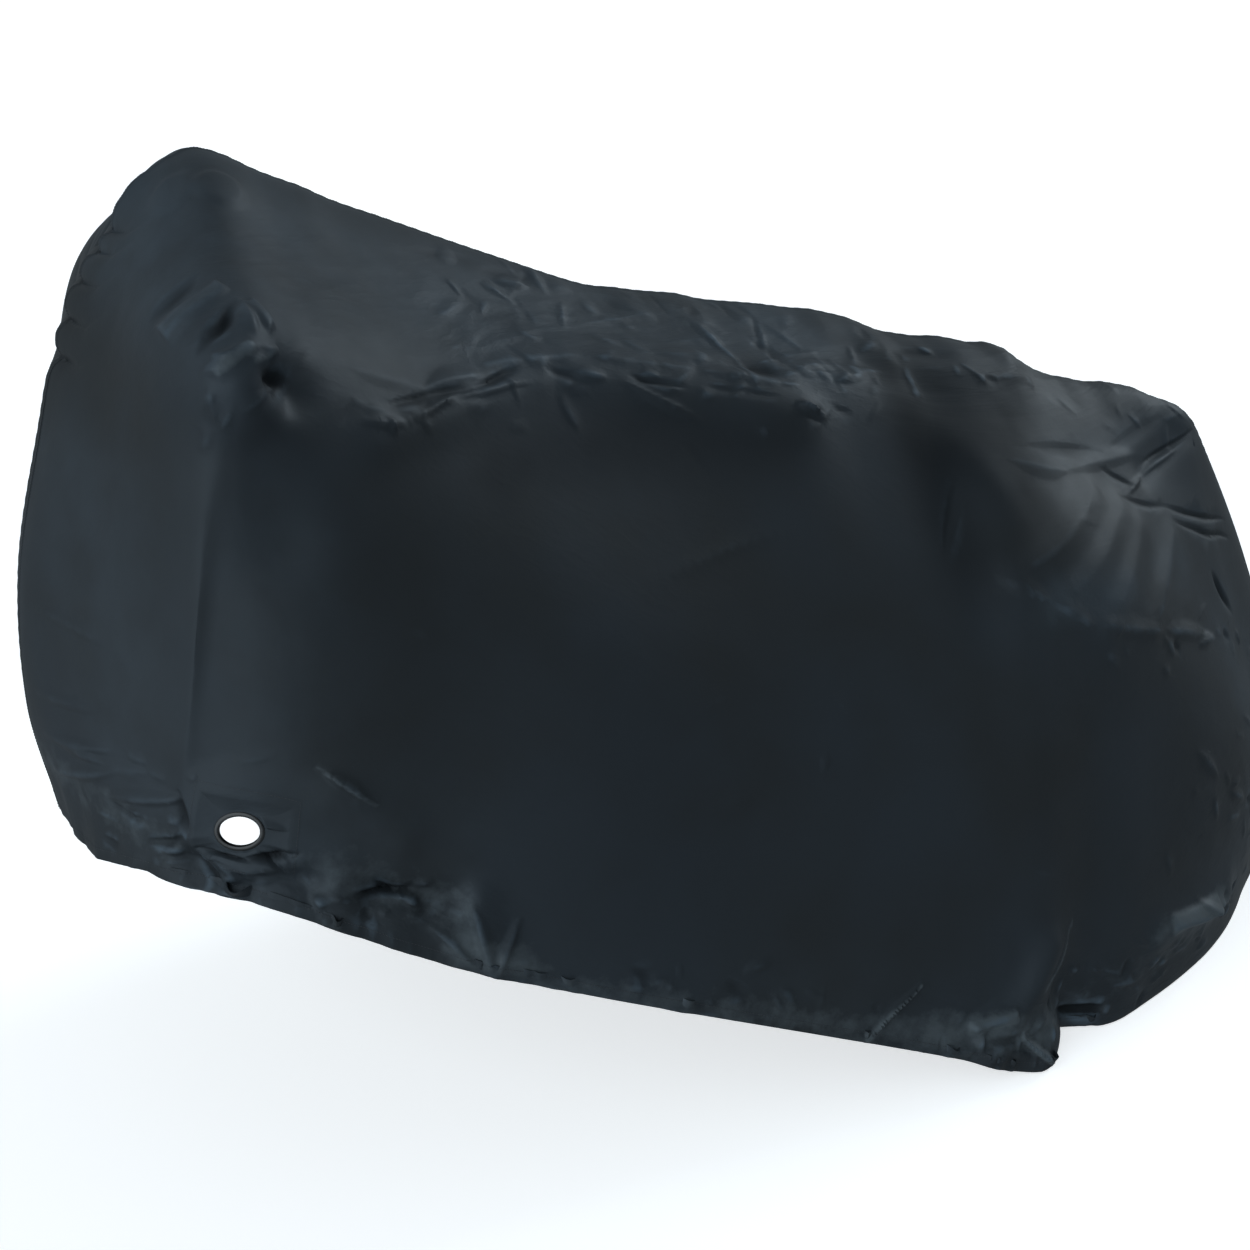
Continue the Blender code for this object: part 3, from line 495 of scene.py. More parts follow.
# This table and the next three have the columns of the folds. Where the cloth is crumpled all
# over: a line, how far off it the crumple reaches, its height.
CRUMPLES = (
    (NEAR, 0.560, 1.030, 1.060, 0.930, 0.045, 0.0045),   # top, middle
    (NEAR, 1.060, 0.930, 1.400, 0.880, 0.040, 0.0040),   # top, behind the middle
    (NEAR, 1.400, 0.880, 1.760, 0.780, 0.030, 0.0025),
    (NEAR, 0.260, 1.160, 0.520, 1.080, 0.050, 0.0018),   # slope behind the hump
    (NEAR, 0.170, 1.060, 0.300, 1.050, 0.060, 0.0018),   # round the blunt end
    (NEAR, 0.060, 0.470, 0.130, 0.490, 0.040, 0.0030),   # front foot
    (NEAR, 0.130, 0.430, 0.460, 0.390, 0.035, 0.0045),   # under the eyelet
    (NEAR, 0.460, 0.310, 1.000, 0.110, 0.030, 0.0025),   # side hem
    (NEAR, 1.080, 0.070, 1.400, 0.060, 0.060, 0.0050),   # rear hem corner
    (NEAR, 1.400, 0.050, 1.800, 0.090, 0.060, 0.0040),   # rear hem
    (NEAR, 1.620, 0.260, 1.850, 0.240, 0.080, 0.0035),
    (NEAR, 1.300, 0.650, 1.830, 0.440, 0.030, 0.0020),   # foot of the rear facet
    (NEAR, 0.500, 0.650, 1.300, 0.450, 0.260, 0.0010),   # quiet side
    (FAR, 0.300, 1.060, 1.700, 0.800, 0.080, 0.0045),
    (FAR, 0.120, 0.450, 1.800, 0.050, 0.060, 0.0045),
    (FAR, 0.300, 0.700, 1.700, 0.400, 0.300, 0.0020),
)
CRUMPLE_CELL, CRUMPLE_LONG = 0.060, 1.5      # a cell's height, and how much longer it is
CRUMPLE_SEEDS = (41, 42)
CRUMPLE_MEAN = 0.25          # mean depth of a bowl
CRUMPLE_SHARE = 0.7
SMALL_CRUMPLE, SMALL_TIMES = 0.30, 2.3       # the finer crumple's share, and how much finer it is
CRUMPLED_FULL = 0.004        # height of crumple at which the cloth counts as wholly creased
DRIFT, DRIFT_CELL, DRIFT_SEEDS = 0.35, 0.08, (31, 32)
FRILL_SEED = 51
# How far the lines of creases, chance creases and plates stray from straight, and over what length.
CREASE_STRAY, CHANCE_STRAY, PLATE_STRAY = 0.002, 0.004, 0.003
STRAY_CELL, STRAY_SEEDS = 0.05, (21, 22)

# Where a highlight is painted into the colour, lightening it: a line, how far off it the patch reaches,
# and how pale it makes the cloth.
PAINTED_HIGHLIGHTS = (
    (NEAR, 1.110, 0.085, 1.260, 0.055, 0.045, 0.5),      # rear hem corner
    (NEAR, 1.250, 0.118, 1.325, 0.185, 0.005, 0.6),
    (NEAR, 1.500, 0.125, 1.650, 0.105, 0.030, 0.3),      # creased patch low at the rear
    (NEAR, 0.430, 0.340, 0.500, 0.315, 0.030, 0.5),      # pucker at the hem
    (NEAR, 0.250, 0.480, 0.420, 0.400, 0.050, 0.35),     # behind and under the eyelet
    (NEAR, 0.276, 0.594, 0.340, 0.540, 0.005, 0.45),
    (NEAR, 0.020, 0.500, 0.100, 0.480, 0.050, 0.35),     # front foot
    (NEAR, 0.550, 0.270, 1.050, 0.100, 0.040, 0.4),      # side hem
    (NEAR, 1.350, 0.050, 1.750, 0.100, 0.050, 0.3),      # rear hem
    (NEAR, 0.600, 1.055, 0.950, 0.985, 0.045, 0.3),      # top, middle
    (FAR, 0.120, 0.440, 1.250, 0.060, 0.040, 0.5),
    (FAR, 1.350, 0.060, 1.750, 0.100, 0.050, 0.4),
)
# Where a bluish sheen is painted into the colour, lightening it: a line, how far off it, how much.
PAINTED_SHEENS = (
    (NEAR, 0.260, 1.180, 0.560, 1.050, 0.080, 0.9),      # slope behind the hump
    (NEAR, 0.560, 1.040, 1.060, 0.950, 0.055, 0.9),      # top, middle
    (NEAR, 1.060, 0.945, 1.160, 0.930, 0.040, 0.7),
    (NEAR, 1.360, 0.782, 1.600, 0.762, 0.020, 0.5),      # upper facet at the rear
    (NEAR, 1.620, 0.765, 1.760, 0.772, 0.026, 0.6),
    (NEAR, 1.640, 0.690, 1.780, 0.600, 0.060, 0.4),      # rear facet and flutes
    (NEAR, 1.340, 0.625, 1.640, 0.590, 0.040, 0.9),
    (NEAR, 1.740, 0.500, 1.840, 0.300, 0.080, 0.9),
    (NEAR, 0.075, 0.900, 0.075, 0.560, 0.045, 0.5),      # down the front
    (NEAR, 0.250, 0.880, 0.220, 0.560, 0.110, 0.4),      # side, behind the soft corner
    (NEAR, 0.170, 1.160, 0.300, 1.190, 0.060, 1.0),      # hump
    (NEAR, 0.190, 1.080, 0.240, 1.070, 0.050, 0.5),      # round the blunt end
    (NEAR, 0.180, 0.500, 0.420, 0.460, 0.090, 0.3),      # above the front hem
    (NEAR, 0.420, 0.330, 1.280, 0.060, 0.070, 0.2),      # side hem
    (NEAR, 1.350, 0.060, 1.750, 0.110, 0.080, 0.3),      # rear hem
    (FAR, 0.260, 1.180, 1.060, 0.960, 0.080, 0.9),
    (FAR, 1.060, 0.960, 1.740, 0.770, 0.050, 0.7),
)
# Patches of painted shade, where the cloth's colour is darkened and made rougher: a line, how far off
# it, how much.
SHADE_PATCHES = (
    (NEAR, 1.200, 0.860, 1.360, 0.815, 0.060, 0.8),      # behind the middle, under the ridge
    (NEAR, 1.200, 0.790, 1.230, 0.700, 0.060, 0.7),
    (NEAR, 0.560, 0.895, 0.980, 0.865, 0.050, 0.6),      # under the shoulder
    (NEAR, 1.335, 0.755, 1.370, 0.710, 0.032, 0.5),      # front of the rear facet
)
# Painted shade: a crease darkens the colour more the deeper it is, fully at this depth.
SHADE_DEPTH = 0.006           # how deep a crease is where it is darkest
# The hem's turned cloth, from outside round to its inner edge: how far down and in each row lies.
HEM_TURN_ROWS = ((0.0, 0.0), (0.0010, 0.0004), (0.0014, 0.0014), (0.0010, 0.0024), (0.0, 0.0028),
                 (-0.0060, 0.0029), (-0.0180, 0.0029))
HEM_RADIUS = 0.0014
HEM_DEPTH = 0.018
SEAM_RISE, SEAM_HALF = 0.0012, 0.006
SEAM_PUCKER, SEAM_PUCKER_PITCH, SEAM_PUCKER_REACH = 0.0003, 0.019, 0.012
SEAM_FLAT = 0.02             # how far from the top seam the creases have their full height
CLOTH = 0.0011
SQUARE = 70                  # degrees past which an edge of the cloth is a square one
RIDGE_CREST = 0.00025        # how far above its neighbours a point is where it is all ridge
# From the foot of the nose, which the tables measure from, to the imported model's origin.
NOSE = np.array((1.00712741, 0.02240074, -0.00016522))


def spaced(counts):
    """Places along a row of spans, with counts[k] even steps in span k."""
    steps = [k + np.arange(count) / count for k, count in enumerate(counts)]
    return np.concatenate(steps + [[float(len(counts))]])


def heights(folds, grid, add=add_fold, stray=0.0):
    """The height at each point of a grid of all these folds."""
    x, z = grid[..., 0], grid[..., 2]
    if stray:
        x, z = (part + stray * noise(x / STRAY_CELL, z / STRAY_CELL, seed)
                for part, seed in zip((x, z), STRAY_SEEDS))
    total = np.zeros(x.shape)
    for fold in folds:
        add(total, x, z, fold)
    return total


def beside(field):
    """The sum of the four neighbours of each value of a field."""
    wide = np.pad(field, 1, mode="edge")
    return wide[:-2, 1:-1] + wide[2:, 1:-1] + wide[1:-1, :-2] + wide[1:-1, 2:]


def softened(field, times=3):
    """A field with each value averaged with its neighbours', a few times over."""
    for _ in range(times):
        field = (beside(field) + 2 * field) / 6
    return field


def window_bounds(side, margin=0.0):
    """First and last column and row of the strip's window, widened by a margin in grid steps."""
    first, low_span = sum(COLUMN_COUNTS[:WINDOW_SPAN]), ROW_COUNTS[side][0]
    return (first - margin, first + COLUMN_COUNTS[WINDOW_SPAN] + margin,
            low_span / 4 - margin, 3 * low_span / 4 + margin)


class Lay:
    """How one side hangs without its folds, and how far its points are from seam, hem and eyelet."""

    def __init__(self, side):
        grids = draped_surface(spaced(COLUMN_COUNTS), spaced(ROW_COUNTS[side]))
        grid = grids[side]
        self.side, self.grid, self.normals = side, grid, grid_normals(grids)[side]
        self.x, self.z = grid[..., 0], grid[..., 2]
        self.along, self.up = run_length(grid, 0), run_length(grid, 1)
        self.to_seam = self.up[:, -1:] - self.up
        top = (grid[:, -1:, 1] + grids[-side][:, -1:, 1]) / 2
        self.from_seam = np.abs(grid[..., 1] - top)
        self.from_front = np.hypot(self.x - grid[:1, :, 0], grid[..., 1] - grid[:1, :, 1])
        self.above, self.hem = self.z - grid[:, :1, 2], self.along[:, :1]
        i0, i1, j0, j1 = window_bounds(side)
        eyelet = grid[int(i0 + i1) // 2, int(j0 + j1) // 2]
        self.from_eyelet = np.linalg.norm(grid - eyelet, axis=2)
        self.calm = ease(self.from_eyelet / EYELET_CALM - CALM_START)
        self.elastic = ease((GATHER_TO - self.x) / GATHER_FADE) * self.calm

    def heights(self, table):
        """The height at each point of a table of soft folds."""
        return heights(listed(FOLD_COLUMNS, table, self.side), self.grid)


def main_folds(lay):
    """The height of what is large: folds, notches beside the front seam, gathers and knobs."""
    height = lay.heights(FOLDS) * lay.calm * ease(lay.from_seam / SEAM_FADE)
    height += heights(listed(FOLD_COLUMNS, FOLDS, BOTH), lay.grid) * lay.calm
    rise = NOTCH_RISE * np.maximum(lay.from_front - NOTCH_LEVEL, 0.0)
    fade = np.exp(-(lay.from_front / NOTCH_REACH[lay.side]) ** 2)
    for notch in NOTCHES:
        apart = np.abs(lay.z - notch - rise) / NOTCH_WIDTH
        height -= NOTCH_DEPTH * np.exp(-NOTCH_POINT * apart) * fade
    ripple = np.sin(2 * math.pi * lay.hem / GATHER_PITCH) * ease(lay.hem / GATHER_PITCH)
    height += GATHER_DEPTH * ripple * lay.elastic * np.exp(-(lay.above / GATHER_RISE) ** 2)
    for knob in listed(KNOB_COLUMNS, KNOBS, lay.side):
        apart = np.linalg.norm(lay.grid - (knob["x"], knob["y"], knob["z"]), axis=2)
        height += knob["height"] * ease((knob["radius"] + KNOB_EDGE - apart) / (2 * KNOB_EDGE))
    return height


def fine_folds(lay, crumpled):
    """The height of what is small: creases, plates, crumple, and the frill along the elastic."""
    height = heights(listed(CREASE_COLUMNS, CREASES, lay.side), lay.grid, add_crease, CREASE_STRAY)
    height += heights(chance_creases(lay.side), lay.grid, add_crease, CHANCE_STRAY)
    height += heights(listed(PLATE_COLUMNS, PLATES, lay.side), lay.grid, add_plate, PLATE_STRAY)
    drift = [DRIFT * noise(lay.along / DRIFT_CELL, lay.to_seam / DRIFT_CELL, seed)
             for seed in DRIFT_SEEDS]
    s = lay.along / CRUMPLE_CELL / CRUMPLE_LONG + drift[0]
    t = lay.side * lay.to_seam / CRUMPLE_CELL + drift[1]
    large = crumple(s, t, CRUMPLE_SEEDS[0]) - CRUMPLE_MEAN
    small = crumple(SMALL_TIMES * s, SMALL_TIMES * t, CRUMPLE_SEEDS[1]) - CRUMPLE_MEAN
    height += CRUMPLE_SHARE * crumpled * (large + SMALL_CRUMPLE * small)
    frill = noise(lay.hem / FRILL_CELL[0], lay.above / FRILL_CELL[1], FRILL_SEED)
    height += FRILL_HEIGHT * lay.elastic * np.exp(-(lay.above / FRILL_RISE) ** 2) * frill
    clear = ease((lay.from_eyelet - RING_REACH) / RING_FADE) * ease(lay.from_seam / SEAM_FLAT)
    return height * clear


def seam_swell(lay):
    """The height of the seam's own ridge and of its pucker."""
    swell = SEAM_RISE * np.exp(-(lay.from_seam / SEAM_HALF) ** 4)
    pull = SEAM_PUCKER * np.exp(-(lay.from_seam / SEAM_PUCKER_REACH) ** 2)
    run = lay.along[:, -1:] + lay.z[:1]
    return swell + pull * np.sin(2 * math.pi * run / SEAM_PUCKER_PITCH)


def cloth_marks(lay, fine, crumpled):
    """What the cloth's look reads at each point, every mark from 0 to 1."""
    crest = fine - beside(fine) / 4
    # The plates' pale column paints highlights on them.
    plates = [dict(plate, height=plate["pale"])
              for plate in listed(PLATE_COLUMNS, PLATES, lay.side)]
    # These marks paint light and shade into the colour: highlights on the pale patches and plates, a
    # bluish sheen on its patches, and shade down in the creases and on the shade patches.
    marks = {"ridge": 0.5 + crest / RIDGE_CREST / 2, "creased": crumpled / CRUMPLED_FULL,
             "pale": lay.heights(PAINTED_HIGHLIGHTS) + heights(plates, lay.grid, add_plate, PLATE_STRAY),
             "bloom": lay.heights(PAINTED_SHEENS), "sunk": -fine / SHADE_DEPTH, "dull": lay.heights(SHADE_PATCHES)}
    marks = {name: np.clip(field, 0.0, 1.0) for name, field in marks.items()}
    marks["ridge"] = softened(marks["ridge"])
    # Painted shade: the softened crease shade, with the listed shade patches over it.
    marks["sunk"] = np.maximum(softened(marks["sunk"]), marks.pop("dull"))
    return marks


@functools.lru_cache(maxsize=None)
def folded_side(side):
    """One side's outer surface: points, normals, marks for its look, and runs along and up it."""
    lay = Lay(side)
    crumpled = lay.heights(CRUMPLES)
    fine = fine_folds(lay, crumpled)
    points = lay.grid + lay.normals * (main_folds(lay) + fine + seam_swell(lay))[..., None]
    tuck = np.exp(-((lay.x - TUCK_X) / TUCK_WIDTH) ** 2) * np.exp(-lay.above / TUCK_RISE)
    points[..., 2] = np.maximum(points[..., 2] + TUCK_LIFT * tuck, 0.0)
    return points - NOSE, lay.normals, cloth_marks(lay, fine, crumpled), lay.along, lay.up


def turned_hem(side):
    """The side's surface with its hem turned under: rows added below the first one."""
    points, normals, marks, along, up = folded_side(side)
    turns = np.array(HEM_TURN_ROWS[::-1])
    rise = points[:, 1] - points[:, 0]
    rise /= np.linalg.norm(rise, axis=1, keepdims=True)
    edge = points[:, 0] + rise * HEM_RADIUS
    turned = np.stack([edge - rise * down - normals[:, 0] * into for down, into in turns], axis=1)
    turned[..., 2] = np.maximum(turned[..., 2], CLOTH)
    count = len(turns)

    def lengthened(field):
        """A field with its first row repeated for each turned row."""
        return np.concatenate((np.repeat(field[:, :1], count, axis=1), field[:, 1:]), axis=1)

    points = np.concatenate((turned, points[:, 1:]), axis=1)
    marks = {name: lengthened(field) for name, field in marks.items()}
    drops = np.repeat(-np.abs(turns.sum(axis=1))[None], len(up), axis=0)
    up = np.concatenate((drops, up[:, 1:]), axis=1)
    return points, marks, lengthened(along), up, count


def linked(name, mesh):
    """A new object for a mesh, in the scene."""
    thing = bpy.data.objects.new(name, mesh)
    bpy.context.scene.collection.objects.link(thing)
    return thing


def write_marks(mesh, marks):
    """Give each point of a mesh its marks, each a field of values or one value for all."""
    for name, field in marks.items():
        mark = mesh.attributes.new(name, "FLOAT", "POINT")
        values = np.zeros(len(mesh.vertices)) + np.ravel(field)
        mark.data.foreach_set("value", values.astype(np.float32))


def panel_piece(side, settings):
    """One side panel: a thin sheet with a turned hem and a window for the lock strip."""
    points, marks, along, up, turned = turned_hem(side)
    columns, rows = points.shape[:2]
    i0, i1, j0, j1 = window_bounds(side)
    faces = []
    for i in range(columns - 1):
        for j in range(rows - 1):
            if i0 <= i < i1 and j0 <= j + 1 - turned < j1:
                continue
            a, b = i * rows + j, (i + 1) * rows + j
            faces.append((a, b, b + 1, a + 1) if side == NEAR else (a, a + 1, b + 1, b))
    mesh = bpy.data.meshes.new(WORDS[side] + "_panel_cloth")
    mesh.from_pydata(points.reshape(-1, 3).tolist(), [], faces)
    mesh.shade_smooth()
    write_marks(mesh, marks)
    loops = np.empty(len(mesh.loops), dtype=np.int32)
    mesh.loops.foreach_get("vertex_index", loops)
    run = np.stack((along.ravel()[loops], up.ravel()[loops]), axis=1).astype(np.float32)
    mesh.uv_layers.new(name="cloth").data.foreach_set("uv", run.ravel())
    piece = linked(mesh.name, mesh)
    tidy = bmesh.new()
    tidy.from_mesh(mesh)
    loose = [v for v in tidy.verts if not v.link_faces]
    bmesh.ops.delete(tidy, geom=loose, context="VERTS")
    tidy.to_mesh(mesh)
    tidy.free()
    thin_out(piece, SKIN_TRIANGLES[side])
    piece.data.materials.append(coated_cloth(settings))
    thicken(piece, settings.cloth)
    return piece


def thin_out(piece, triangles):
    """Decimate a piece to a count of triangles, with every point of its edges kept."""
    mesh = piece.data
    edge_points = set()
    check = bmesh.new()
    check.from_mesh(mesh)
    for edge in check.edges:
        if edge.is_boundary:
            edge_points.update(vertex.index for vertex in edge.verts)
    check.free()
    inside = piece.vertex_groups.new(name="inside")
    inside.add([k for k in range(len(mesh.vertices)) if k not in edge_points], 1.0, "REPLACE")
    fewer = piece.modifiers.new("fewer", "DECIMATE")
    fewer.ratio = triangles / (2 * len(mesh.polygons))
    fewer.vertex_group = "inside"
    settle(piece)
    piece.vertex_groups.clear()


def settle(piece):
    """Make a piece the plain mesh that its modifiers give, smooth but for its square edges."""
    ready = piece.evaluated_get(bpy.context.evaluated_depsgraph_get())
    before, piece.data = piece.data, bpy.data.meshes.new_from_object(ready)
    piece.modifiers.clear()
    bpy.data.meshes.remove(before)
    piece.data.name = piece.name
    piece.data.shade_smooth()
    piece.data.set_sharp_from_angle(angle=math.radians(SQUARE))


def thicken(piece, thickness):
    """Give a sheet its thickness, inwards from the surface that shows."""
    wall = piece.modifiers.new("cloth", "SOLIDIFY")
    wall.thickness = thickness
    wall.offset = -1.0
    settle(piece)


# ------------------------------------------------------------------ lock strips and rings

STRIP_POINTS = 240
STRIP_LAP = 2.4              # how many grid steps the strip laps over its window
STRIP_MARGINS = (STRIP_LAP, 1.2, 0.0, -1.2)
STRIP_SEWN = 0.8             # how many grid steps from the strip's edge it is sewn down
PROUD = 0.0001               # how far off the cloth the strip and the rows of stitches lie
STRIP_CLOTH = 0.0016
STRIP_STEPS = 14             # rows of points from the strip's ledge in to its flat rim
# Marks of the lock strip, the same all over: a little painted highlight and painted bluish sheen in its
# colour.
STRIP_MARKS = {"ridge": 0.5, "creased": 0.5, "pale": 0.15, "bloom": 0.45}
FLAT_RIM = 0.009             # how far from the bore the strip lies flat
HOLE_GAP = 0.0003            # between the strip's hole and the eyelet's wall
RING_STEPS = 72
RING_SQUARE = 50             # degrees past which an edge of the eyelet is a square one


def sampled(field, i, j):
    """A field of the grid, read between its points."""
    i0 = np.clip(np.floor(i).astype(int), 0, field.shape[0] - 2)
    j0 = np.clip(np.floor(j).astype(int), 0, field.shape[1] - 2)
    u, v = (i - i0)[:, None], (j - j0)[:, None]
    return ((1 - u) * (1 - v) * field[i0, j0] + u * (1 - v) * field[i0 + 1, j0]
            + (1 - u) * v * field[i0, j0 + 1] + u * v * field[i0 + 1, j0 + 1])


def on_cloth(side, i, j, height):
    """Points at these places of a side's grid, a given height off the cloth."""
    points, normals = folded_side(side)[:2]
    return sampled(points, i, j) + height * sampled(normals, i, j)


def rectangle(side, margin):
    """A closed row of points on the cloth round the window, widened by a margin in grid steps."""
    i0, i1, j0, j1 = window_bounds(side, margin)
    t = np.arange(STRIP_POINTS) / STRIP_POINTS * 4
    leg, part = np.floor(t).astype(int), t % 1
    i = np.choose(leg, (i0 + part * (i1 - i0), i1 + 0 * part, i1 - part * (i1 - i0), i0 + 0 * part))
    j = np.choose(leg, (j0 + 0 * part, j0 + part * (j1 - j0), j1 + 0 * part, j1 - part * (j1 - j0)))
    return on_cloth(side, i, j, PROUD)


def ring_axes(side):
    """The eyelet's centre, long and high directions and outward normal, read from its solid."""
    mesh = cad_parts[WORDS[side] + "_eyelet"].data
    points = np.array([vertex.co for vertex in mesh.vertices])
    centre = points.mean(axis=0)
    long, high, out = np.linalg.svd(points - centre, full_matrices=False)[2]
    for axis in (long, high, out):
        reach = (points - centre) @ axis
        centre = centre + axis * (reach.max() + reach.min()) / 2
    return centre, long, high, out * np.sign(out[1] * side)


def oval(axes, angle, offset, height):
    """Points at angles round the bore, offset outwards and raised along the eyelet's axis."""
    centre, long, high, out = axes
    a, b = BORE_LONG / 2, BORE_HIGH / 2
    ca, sa = np.cos(angle)[:, None], np.sin(angle)[:, None]
    nx, ny = b * ca, a * sa
    size = np.hypot(nx, ny)
    return (centre + long * (a * ca + offset * nx / size) + high * (b * sa + offset * ny / size)
            + out * height)


def ring_of_loops(name, loops, out, closed=False):
    """A smooth mesh through closed rows of points, its faces turned to look along out."""
    count, size = len(loops), len(loops[0])
    faces = []
    for k in range(count if closed else count - 1):
        for m in range(size):
            here, there = k * size, (k + 1) % count * size
            after = (m + 1) % size
            faces.append((here + m, here + after, there + after, there + m))
    points = np.concatenate(loops)
    corner = points[list(faces[0])]
    facing = np.cross(corner[1] - corner[0], corner[3] - corner[0]) @ out
    if facing < 0:
        faces = [face[::-1] for face in faces]
    mesh = bpy.data.meshes.new(name)
    mesh.from_pydata(points.tolist(), [], faces)
    mesh.shade_smooth()
    return mesh


def strip_piece(side, settings):
    """The doubled strip round the eyelet, lapped over its window in the panel."""
    axes = ring_axes(side)
    centre, long, high, out = axes
    laps = [rectangle(side, margin) for margin in STRIP_MARGINS]
    ledge = laps[-1]
    angle = np.arctan2((ledge - centre) @ high / BORE_HIGH, (ledge - centre) @ long / BORE_LONG)
    rim = oval(axes, angle, FLAT_RIM, PATCH_SOLID / 2)
    hole = oval(axes, angle, RING_WALL + HOLE_GAP, PATCH_SOLID / 2)
    loops, sunk = list(laps), [np.zeros(STRIP_POINTS)] * len(laps)
    creases = listed(CREASE_COLUMNS, CREASES, side)
    for t in np.arange(1, STRIP_STEPS) / STRIP_STEPS:
        loop = (1 - ease(t)) * ((1 - t) * ledge + t * rim) + ease(t) * rim
        fold = heights(creases, loop + NOSE, add_crease, CREASE_STRAY)
        fold *= ease(3 * t) * ease(4 * (1 - t))
        loops.append(loop + fold[:, None] * out)
        # Painted shade down in the strip's creases.
        sunk.append(np.clip(-fold / SHADE_DEPTH, 0.0, 1.0))
    loops += [rim, (rim + hole) / 2, hole]
    sunk += [np.zeros(STRIP_POINTS)] * 3
    mesh = ring_of_loops(WORDS[side] + "_patch_cloth", loops, out)
    runs = (mesh.vertices[loop.vertex_index].co - Vector(centre) for loop in mesh.loops)
    layer = mesh.uv_layers.new(name="cloth")
    for k, away in enumerate(runs):
        layer.data[k].uv = (away.dot(Vector(long)), away.dot(Vector(high)))
    write_marks(mesh, dict(STRIP_MARKS, sunk=np.concatenate(sunk)))
    mesh.materials.append(coated_cloth(settings))
    piece = linked(mesh.name, mesh)
    thicken(piece, STRIP_CLOTH)
    return piece


# One face of the eyelet's section, bore wall first: (offset outwards, height).
RING_FACE = ((0.0, 0.0), (0.0, 0.0012), (0.0001, 0.0021), (0.0004, 0.0027), (0.0009, 0.0031),
             (0.0016, 0.0033), (0.0030, 0.00335), (0.0044, 0.0032), (0.0052, 0.0029),
             (0.0057, 0.0025), (0.0060, 0.0021), (0.0059, 0.00175), (0.0040, 0.0016),
             (0.0015, 0.0016))


def ring_piece(side, settings):
    """The eyelet: a moulded oval with a rounded flange on each face of the strip."""
    axes = ring_axes(side)
    angle = np.arange(RING_STEPS) / RING_STEPS * 2 * math.pi
    back = [(offset, -height) for offset, height in RING_FACE[:0:-1]]
    loops = [oval(axes, angle, offset, height) for offset, height in (*RING_FACE, *back)]
    mesh = ring_of_loops(WORDS[side] + "_ring", loops, axes[3], closed=True)
    check = bmesh.new()
    check.from_mesh(mesh)
    bmesh.ops.recalc_face_normals(check, faces=check.faces)
    check.to_mesh(mesh)
    check.free()
    mesh.set_sharp_from_angle(angle=math.radians(RING_SQUARE))
    mesh.materials.append(moulded_plastic(settings))
    return linked(mesh.name, mesh)


# ------------------------------------------------------------------ stitches

SEAM_ALLOWANCE = 0.0035      # how far from the seam its rows of stitches lie
HEM_ALLOWANCE = 0.003        # how far below the hem's inner edge its row lies
STITCH_SHARE = 0.82          # a stitch's length as a share of the pitch
STITCH_INPUTS = (("Pitch", "NodeSocketFloat"), ("Size", "NodeSocketVector"),
                 ("Thread", "NodeSocketMaterial"))


def stitch_tree():
    """A node tree that turns rows of points into rows of stitches, a stitch to each pitch."""
    tree = bpy.data.node_groups.new("stitch_rows", "GeometryNodeTree")
    tree.interface.new_socket("Rows", in_out="INPUT", socket_type="NodeSocketGeometry")
    for name, kind in STITCH_INPUTS:
        tree.interface.new_socket(name, in_out="INPUT", socket_type=kind)
    tree.interface.new_socket("Stitches", in_out="OUTPUT", socket_type="NodeSocketGeometry")
    kinds = {"given": "NodeGroupInput", "curve": "GeometryNodeMeshToCurve",
             "spots": "GeometryNodeCurveToPoints", "bead": "GeometryNodeMeshUVSphere",
             "sewn": "GeometryNodeInstanceOnPoints", "real": "GeometryNodeRealizeInstances",
             "soft": "GeometryNodeSetShadeSmooth", "look": "GeometryNodeSetMaterial",
             "result": "NodeGroupOutput"}
    nodes = {name: tree.nodes.new(kind) for name, kind in kinds.items()}
    nodes["spots"].mode = "LENGTH"
    nodes["bead"].inputs["Segments"].default_value = 6
    nodes["bead"].inputs["Rings"].default_value = 5
    nodes["bead"].inputs["Radius"].default_value = 1.0
    for source, out, target, into in (
            ("given", "Rows", "curve", "Mesh"), ("curve", "Curve", "spots", "Curve"),
            ("given", "Pitch", "spots", "Length"), ("spots", "Points", "sewn", "Points"),
            ("spots", "Rotation", "sewn", "Rotation"), ("bead", "Mesh", "sewn", "Instance"),
            ("given", "Size", "sewn", "Scale"), ("sewn", "Instances", "real", "Geometry"),
            ("real", "Geometry", "soft", "Geometry"), ("soft", "Geometry", "look", "Geometry"),
            ("given", "Thread", "look", "Material"), ("look", "Geometry", "result", "Stitches")):
        tree.links.new(nodes[source].outputs[out], nodes[target].inputs[into])
    return tree


def stitches(name, rows, settings):
    """Stitches along rows of points, as a plain mesh."""
    mesh = bpy.data.meshes.new(name + "_rows")
    edges, start = [], 0
    for row in rows:
        edges += [(start + k, start + k + 1) for k in range(len(row) - 1)]
        start += len(row)
    mesh.from_pydata(np.concatenate(rows).tolist(), edges, [])
    guide = linked(name + "_rows", mesh)
    sewing = guide.modifiers.new("sewing", "NODES")
    sewing.node_group = stitch_tree()
    sockets = {item.name: item.identifier for item in sewing.node_group.interface.items_tree
               if item.in_out == "INPUT"}
    thick, long = settings.thread / 2, settings.stitch / 2 * STITCH_SHARE
    sewing[sockets["Pitch"]] = settings.stitch
    sewing[sockets["Size"]] = (thick, thick, long)
    sewing[sockets["Thread"]] = thread(settings)
    ready = guide.evaluated_get(bpy.context.evaluated_depsgraph_get())
    made = bpy.data.meshes.new_from_object(ready)
    made.name = name
    bpy.data.objects.remove(guide)
    return linked(name, made)


